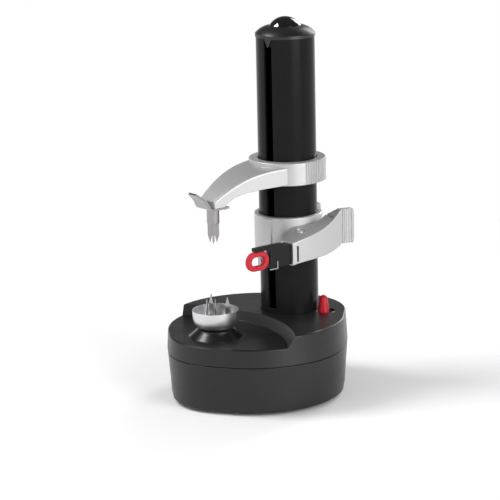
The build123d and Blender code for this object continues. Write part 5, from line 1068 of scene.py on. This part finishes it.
@dataclass
class BaseCase(Assembly):
    """Tub, cover, feet, battery door and supply socket."""

    nodes: tuple[str, ...] = ("base_tub", "base_cover", "rubber_feet", "case_screws",
                              "battery_door", "door_screw", "supply_socket")
    special: dict[str, Finish] = field(default_factory=lambda: {"base_cover": COVER})
    well_gap: float = 1.0 * MM
    mark_gap: float = 0.5 * MM
    mark_width: float = 1.5 * MM
    mark_length: float = 3.2 * MM
    mark_ahead: float = 3.0 * MM
    mark_proud: float = 0.03 * MM
    mark_thickness: float = 0.06 * MM
    rib_count: int = 5
    rib_start: float = 12.0 * MM
    rib_pitch: float = 2.2 * MM
    rib_half_length: float = 9.0 * MM
    rib_half_width: float = 0.45 * MM
    rib_proud: float = 0.4 * MM
    rib_sunk: float = 0.1 * MM
    rib_rounding: float = 0.18 * MM
    shank_radius: float = 1.5 * MM

    def details(self) -> None:
        """Printed mark by the switch, grip ribs and a real screw in the battery door."""
        self.build_mark()
        self.build_door_ribs()
        self.build_door_screw()

    def build_mark(self) -> None:
        """Small pale triangle printed on the pad beside the switch."""
        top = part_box("base_cover")[1][2] + self.mark_proud
        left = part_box("switch_knob")[1][0] + self.well_gap + self.mark_gap
        front = middle("switch_knob")[1] + self.mark_ahead
        tip = (left, front + self.mark_length)
        outline = ((left, front), (left + self.mark_width, front), tip)
        shape = bmesh.new()
        face = shape.faces.new([shape.verts.new((x, y, top)) for x, y in outline])
        raised = bmesh.ops.extrude_face_region(shape, geom=[face])["geom"]
        down = [v for v in raised if isinstance(v, bmesh.types.BMVert)]
        bmesh.ops.translate(shape, verts=down, vec=(0, 0, -self.mark_thickness))
        self.settle(mesh_object("switch_mark", shape), Slot.SILVER, finish=PRINT)

    def build_door_ribs(self) -> None:
        """Ribs on the door, for the thumb that slides it off."""
        low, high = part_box("battery_door")
        shape = bmesh.new()
        for i in range(self.rib_count):
            y = high[1] - self.rib_start - i * self.rib_pitch
            bar(shape, (-self.rib_half_length, y - self.rib_half_width, low[2] - self.rib_proud),
                (self.rib_half_length, y + self.rib_half_width, low[2] + self.rib_sunk))
        ribs = mesh_object("door_ribs", shape)
        soften(ribs, self.rib_rounding)
        self.settle(ribs, Slot.SHELL)

    def build_door_screw(self) -> None:
        """Cross-head screw of the battery door."""
        low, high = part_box("door_screw")
        x, y, _ = middle("door_screw")
        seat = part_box("battery_door")[0][2]
        kind = ScrewHead((high[0] - low[0]) / 2, seat - low[2], self.shank_radius)
        screw = kind.add("door_screw_cross", (x, y, seat), high[2])
        self.settle(screw, Slot.PLAIN, ("door_screw",))


@dataclass
class BatteryBox(Assembly):
    """Tray, cells, contact plates and springs."""

    nodes: tuple[str, ...] = ("battery_tray", "battery_contacts", "battery_springs",
                              "battery_cell_1", "battery_cell_2", "battery_cell_3",
                              "battery_cell_4")


@dataclass
class Gearbox(Assembly):
    """Plates, posts, motor and the gears that stand still or turn between them."""

    nodes: tuple[str, ...] = ("gearbox_lower_plate", "gearbox_upper_plate", "gearbox_posts",
                              "gearbox_screws", "drive_motor", "motor_screws", "motor_pinion",
                              "first_gear", "first_axle", "axle_clip", "second_gear",
                              "second_axle", "spindle_gear", "screw_gear", "spindle_bushes",
                              "screw_lower_bush", "slide_switch")


@dataclass
class Tower(Assembly):
    """Slotted tube with its cap, dome, clamp ring and lead screw."""

    nodes: tuple[str, ...] = ("tower_tube", "tower_flange", "tower_screws", "tower_cap",
                              "top_dome", "screw_upper_bush", "lead_screw")
    special: dict[str, Finish] = field(default_factory=lambda: {"tower_cap": CAP})


@dataclass
class FoodCup(Assembly):
    """Spindle, cup and its prongs."""

    body: str = "spindle"
    nodes: tuple[str, ...] = ("food_spindle", "food_cup", "cup_prongs")


@dataclass
class UpperArm(Assembly):
    """Arm over the food with its curled tab."""

    body: str = "arm"
    nodes: tuple[str, ...] = ("upper_arm", "finger_tab", "tab_screws", "arm_bush")
    shank_radius: float = 0.9 * MM

    def details(self) -> None:
        """Cross-head screws under the tab."""
        low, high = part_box("tab_screws")
        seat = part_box("finger_tab")[0][2]
        y = middle("tab_screws")[1]
        radius = (high[1] - low[1]) / 2
        kind = ScrewHead(radius, seat - low[2], self.shank_radius)
        for word, side in (("left", -1), ("right", 1)):
            place = (side * (high[0] - radius), y, seat)
            screw = kind.add(f"tab_screw_cross_{word}", place, high[2])
            self.settle(screw, Slot.PLAIN, ("tab_screws",))


@dataclass
class UpperHolder(Assembly):
    """Free-turning holder under the arm's tip."""

    body: str = "top_holder"
    nodes: tuple[str, ...] = ("upper_hub", "hub_clip", "upper_prongs")


@dataclass
class Carriage(Assembly):
    """Collar, its follower, and the lever's pin and spring."""

    body: str = "carriage"
    nodes: tuple[str, ...] = ("carriage_collar", "screw_follower", "pivot_pin", "lever_spring")


@dataclass
class BladeLever(Assembly):
    """Peel lever with its blade holder, guard and blade."""

    body: str = "lever"
    nodes: tuple[str, ...] = ("peel_lever", "blade_holder", "blade_guard", "peeling_blade",
                              "blade_retainer")
    ground: float = 0.9 * MM
    edge_thickness: float = 0.08 * MM
    slot_width: float = 0.7 * MM
    slot_end: float = 0.27

    def details(self) -> None:
        """Blade with two ground edges and a slot between them."""
        low, high = (Vector(corner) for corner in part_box("peeling_blade"))
        middle_x, middle_y = (low.x + high.x) / 2, (low.y + high.y) / 2
        half = (high.x - low.x) / 2
        thin = self.edge_thickness / 2
        section = [(low.y, -thin), (low.y + self.ground, -half), (high.y - self.ground, -half),
                   (high.y, -thin), (high.y, thin), (high.y - self.ground, half),
                   (low.y + self.ground, half), (low.y, thin)]
        shape = bmesh.new()
        lower, upper = ([shape.verts.new((middle_x + x, y, z)) for y, x in section]
                        for z in (low.z, high.z))
        for i in range(len(section)):
            j = (i + 1) % len(section)
            shape.faces.new((lower[i], lower[j], upper[j], upper[i]))
        shape.faces.new(lower[::-1])
        shape.faces.new(upper)
        blade = mesh_object("ground_blade", shape)
        side = self.slot_width / 2
        end = (high.z - low.z) * self.slot_end
        cut(blade, (middle_x - CLEAR, middle_y - side, low.z + end),
            (middle_x + CLEAR, middle_y + side, high.z - end))
        self.settle(blade, Slot.POLISHED, ("peeling_blade",))


@dataclass
class Switch(Assembly):
    """Knob of the slide switch."""

    body: str = "switch"
    nodes: tuple[str, ...] = ("switch_knob",)


# ------------------------------------------------------------------ studio
@dataclass(frozen=True)
class Softbox:
    """Rectangular area lamp that points at the peeler."""

    name: str
    azimuth: float
    elevation: float
    distance: float
    width: float
    height: float
    power: float

    def hang(self, target: Vector) -> None:
        """Put the lamp in the scene.

        Args:
            target: Point that it faces.
        """
        data = bpy.data.lights.new(self.name, "AREA")
        data.shape = "RECTANGLE"
        data.size = self.width
        data.size_y = self.height
        data.energy = self.power
        lamp = linked(self.name, data)
        turn, rise = math.radians(self.azimuth), math.radians(self.elevation)
        reach = math.cos(rise)
        away = Vector((math.cos(turn) * reach, math.sin(turn) * reach, math.sin(rise)))
        lamp.location = target + away * self.distance
        lamp.rotation_euler = away.to_track_quat("Z", "Y").to_euler()


@dataclass
class Studio:
    """Camera, pale floor, world and lamps."""

    position: Point = (1.396785, -1.134242, 0.558277)
    right: Point = (0.63214044, 0.77457433, -0.02081031)
    up: Point = (-0.17405819, 0.16811945, 0.9702781)
    forward: Point = (-0.75505113, 0.60972982, -0.24109611)
    focal_share: float = 2442.41 / 500.0
    sensor: float = 36.0
    clip_end: float = 50.0
    target: Point = (0.0, 0.0, 0.13)
    floor_half: float = 6.0
    floor_tone: float = 0.86
    floor_shown: float = 0.90
    shadow: Band = (0.20, 0.62)
    ambient: float = 0.30
    ceiling: float = 0.12
    ceiling_rise: Band = (0.07, 0.27)
    softboxes: tuple[Softbox, ...] = (
        Softbox("key_softbox", azimuth=-131.0, elevation=50.0, distance=1.6, width=0.6,
                height=0.6, power=16.0),
        Softbox("front_softbox", azimuth=-100.0, elevation=22.0, distance=1.9, width=1.2,
                height=1.0, power=9.0),
        Softbox("right_softbox", azimuth=3.0, elevation=16.0, distance=1.6, width=1.0,
                height=1.3, power=21.0),
        Softbox("rear_softbox", azimuth=108.0, elevation=20.0, distance=1.5, width=0.6,
                height=1.2, power=11.0),
    )

    def make(self) -> None:
        """Set the whole studio up."""
        self.place_camera()
        self.build_world()
        self.build_floor()
        for softbox in self.softboxes:
            softbox.hang(Vector(self.target))
        bpy.context.scene.view_settings.view_transform = "Standard"
        LOG.info("studio: %d lamps", len(self.softboxes))

    def place_camera(self) -> None:
        """Camera with the same place and view every time."""
        data = bpy.data.cameras.new("view_camera")
        data.sensor_width = self.sensor
        data.lens = self.focal_share * self.sensor
        data.clip_end = self.clip_end
        camera = linked("view_camera", data)
        columns = [Vector(self.right), Vector(self.up), -Vector(self.forward)]
        turn = Matrix(columns).transposed().to_4x4()
        camera.matrix_world = Matrix.Translation(Vector(self.position)) @ turn
        bpy.context.scene.camera = camera

    def build_world(self) -> None:
        """White wall under a dark ceiling, which lights the peeler only softly."""
        world = bpy.data.worlds.new("white_room")
        world.use_nodes = True
        bpy.context.scene.world = world
        graph = Graph(world.node_tree)
        height = graph.parts(graph.wire("ShaderNodeTexCoord", output="Generated"))[2]
        wall = graph.span(height, *self.ceiling_rise, 1.0, self.ceiling)
        white = {"Color": (1.0, 1.0, 1.0, 1.0)}
        soft, room = (graph.wire("ShaderNodeBackground", None, {**white, "Strength": strength})
                      for strength in (self.ambient, wall))
        shown = graph.mixed(graph.seen(), soft, room)
        graph.node("ShaderNodeOutputWorld", None, {"Surface": shown})

    def build_floor(self) -> None:
        """Pale floor that keeps the peeler's soft shadow and is white further away."""
        shape = bmesh.new()
        bmesh.ops.create_grid(shape, x_segments=1, y_segments=1, size=self.floor_half)
        floor = mesh_object("studio_floor", shape)
        material = bpy.data.materials.new("pale_floor")
        material.use_nodes = True
        graph = Graph(material.node_tree)
        tones = [(tone, tone, tone, 1.0) for tone in (self.floor_tone, self.floor_shown)]
        plain, bright = (graph.wire("ShaderNodeBsdfDiffuse", None, {"Color": tone})
                         for tone in tones)
        white = graph.wire("ShaderNodeEmission", None, {"Strength": 1.0})
        faded = graph.mixed(graph.span(graph.length(graph.place()), *self.shadow), bright, white)
        shown = graph.mixed(graph.seen(), plain, faded)
        graph.node("ShaderNodeOutputMaterial", None, {"Surface": shown})
        floor.data.materials.append(material)


def main() -> None:
    """Load the frame, dress every part of it and set up the studio."""
    logging.basicConfig(level=logging.INFO, format="%(name)s: %(message)s")
    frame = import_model()
    Studio().make()
    wardrobe = Wardrobe(frame["record"])
    kinds = (BaseCase, BatteryBox, Gearbox, Tower, FoodCup, UpperArm, UpperHolder, Carriage,
             BladeLever, Switch)
    for kind in kinds:
        kind(frame, wardrobe).make()


if __name__ == "__main__":
    main()
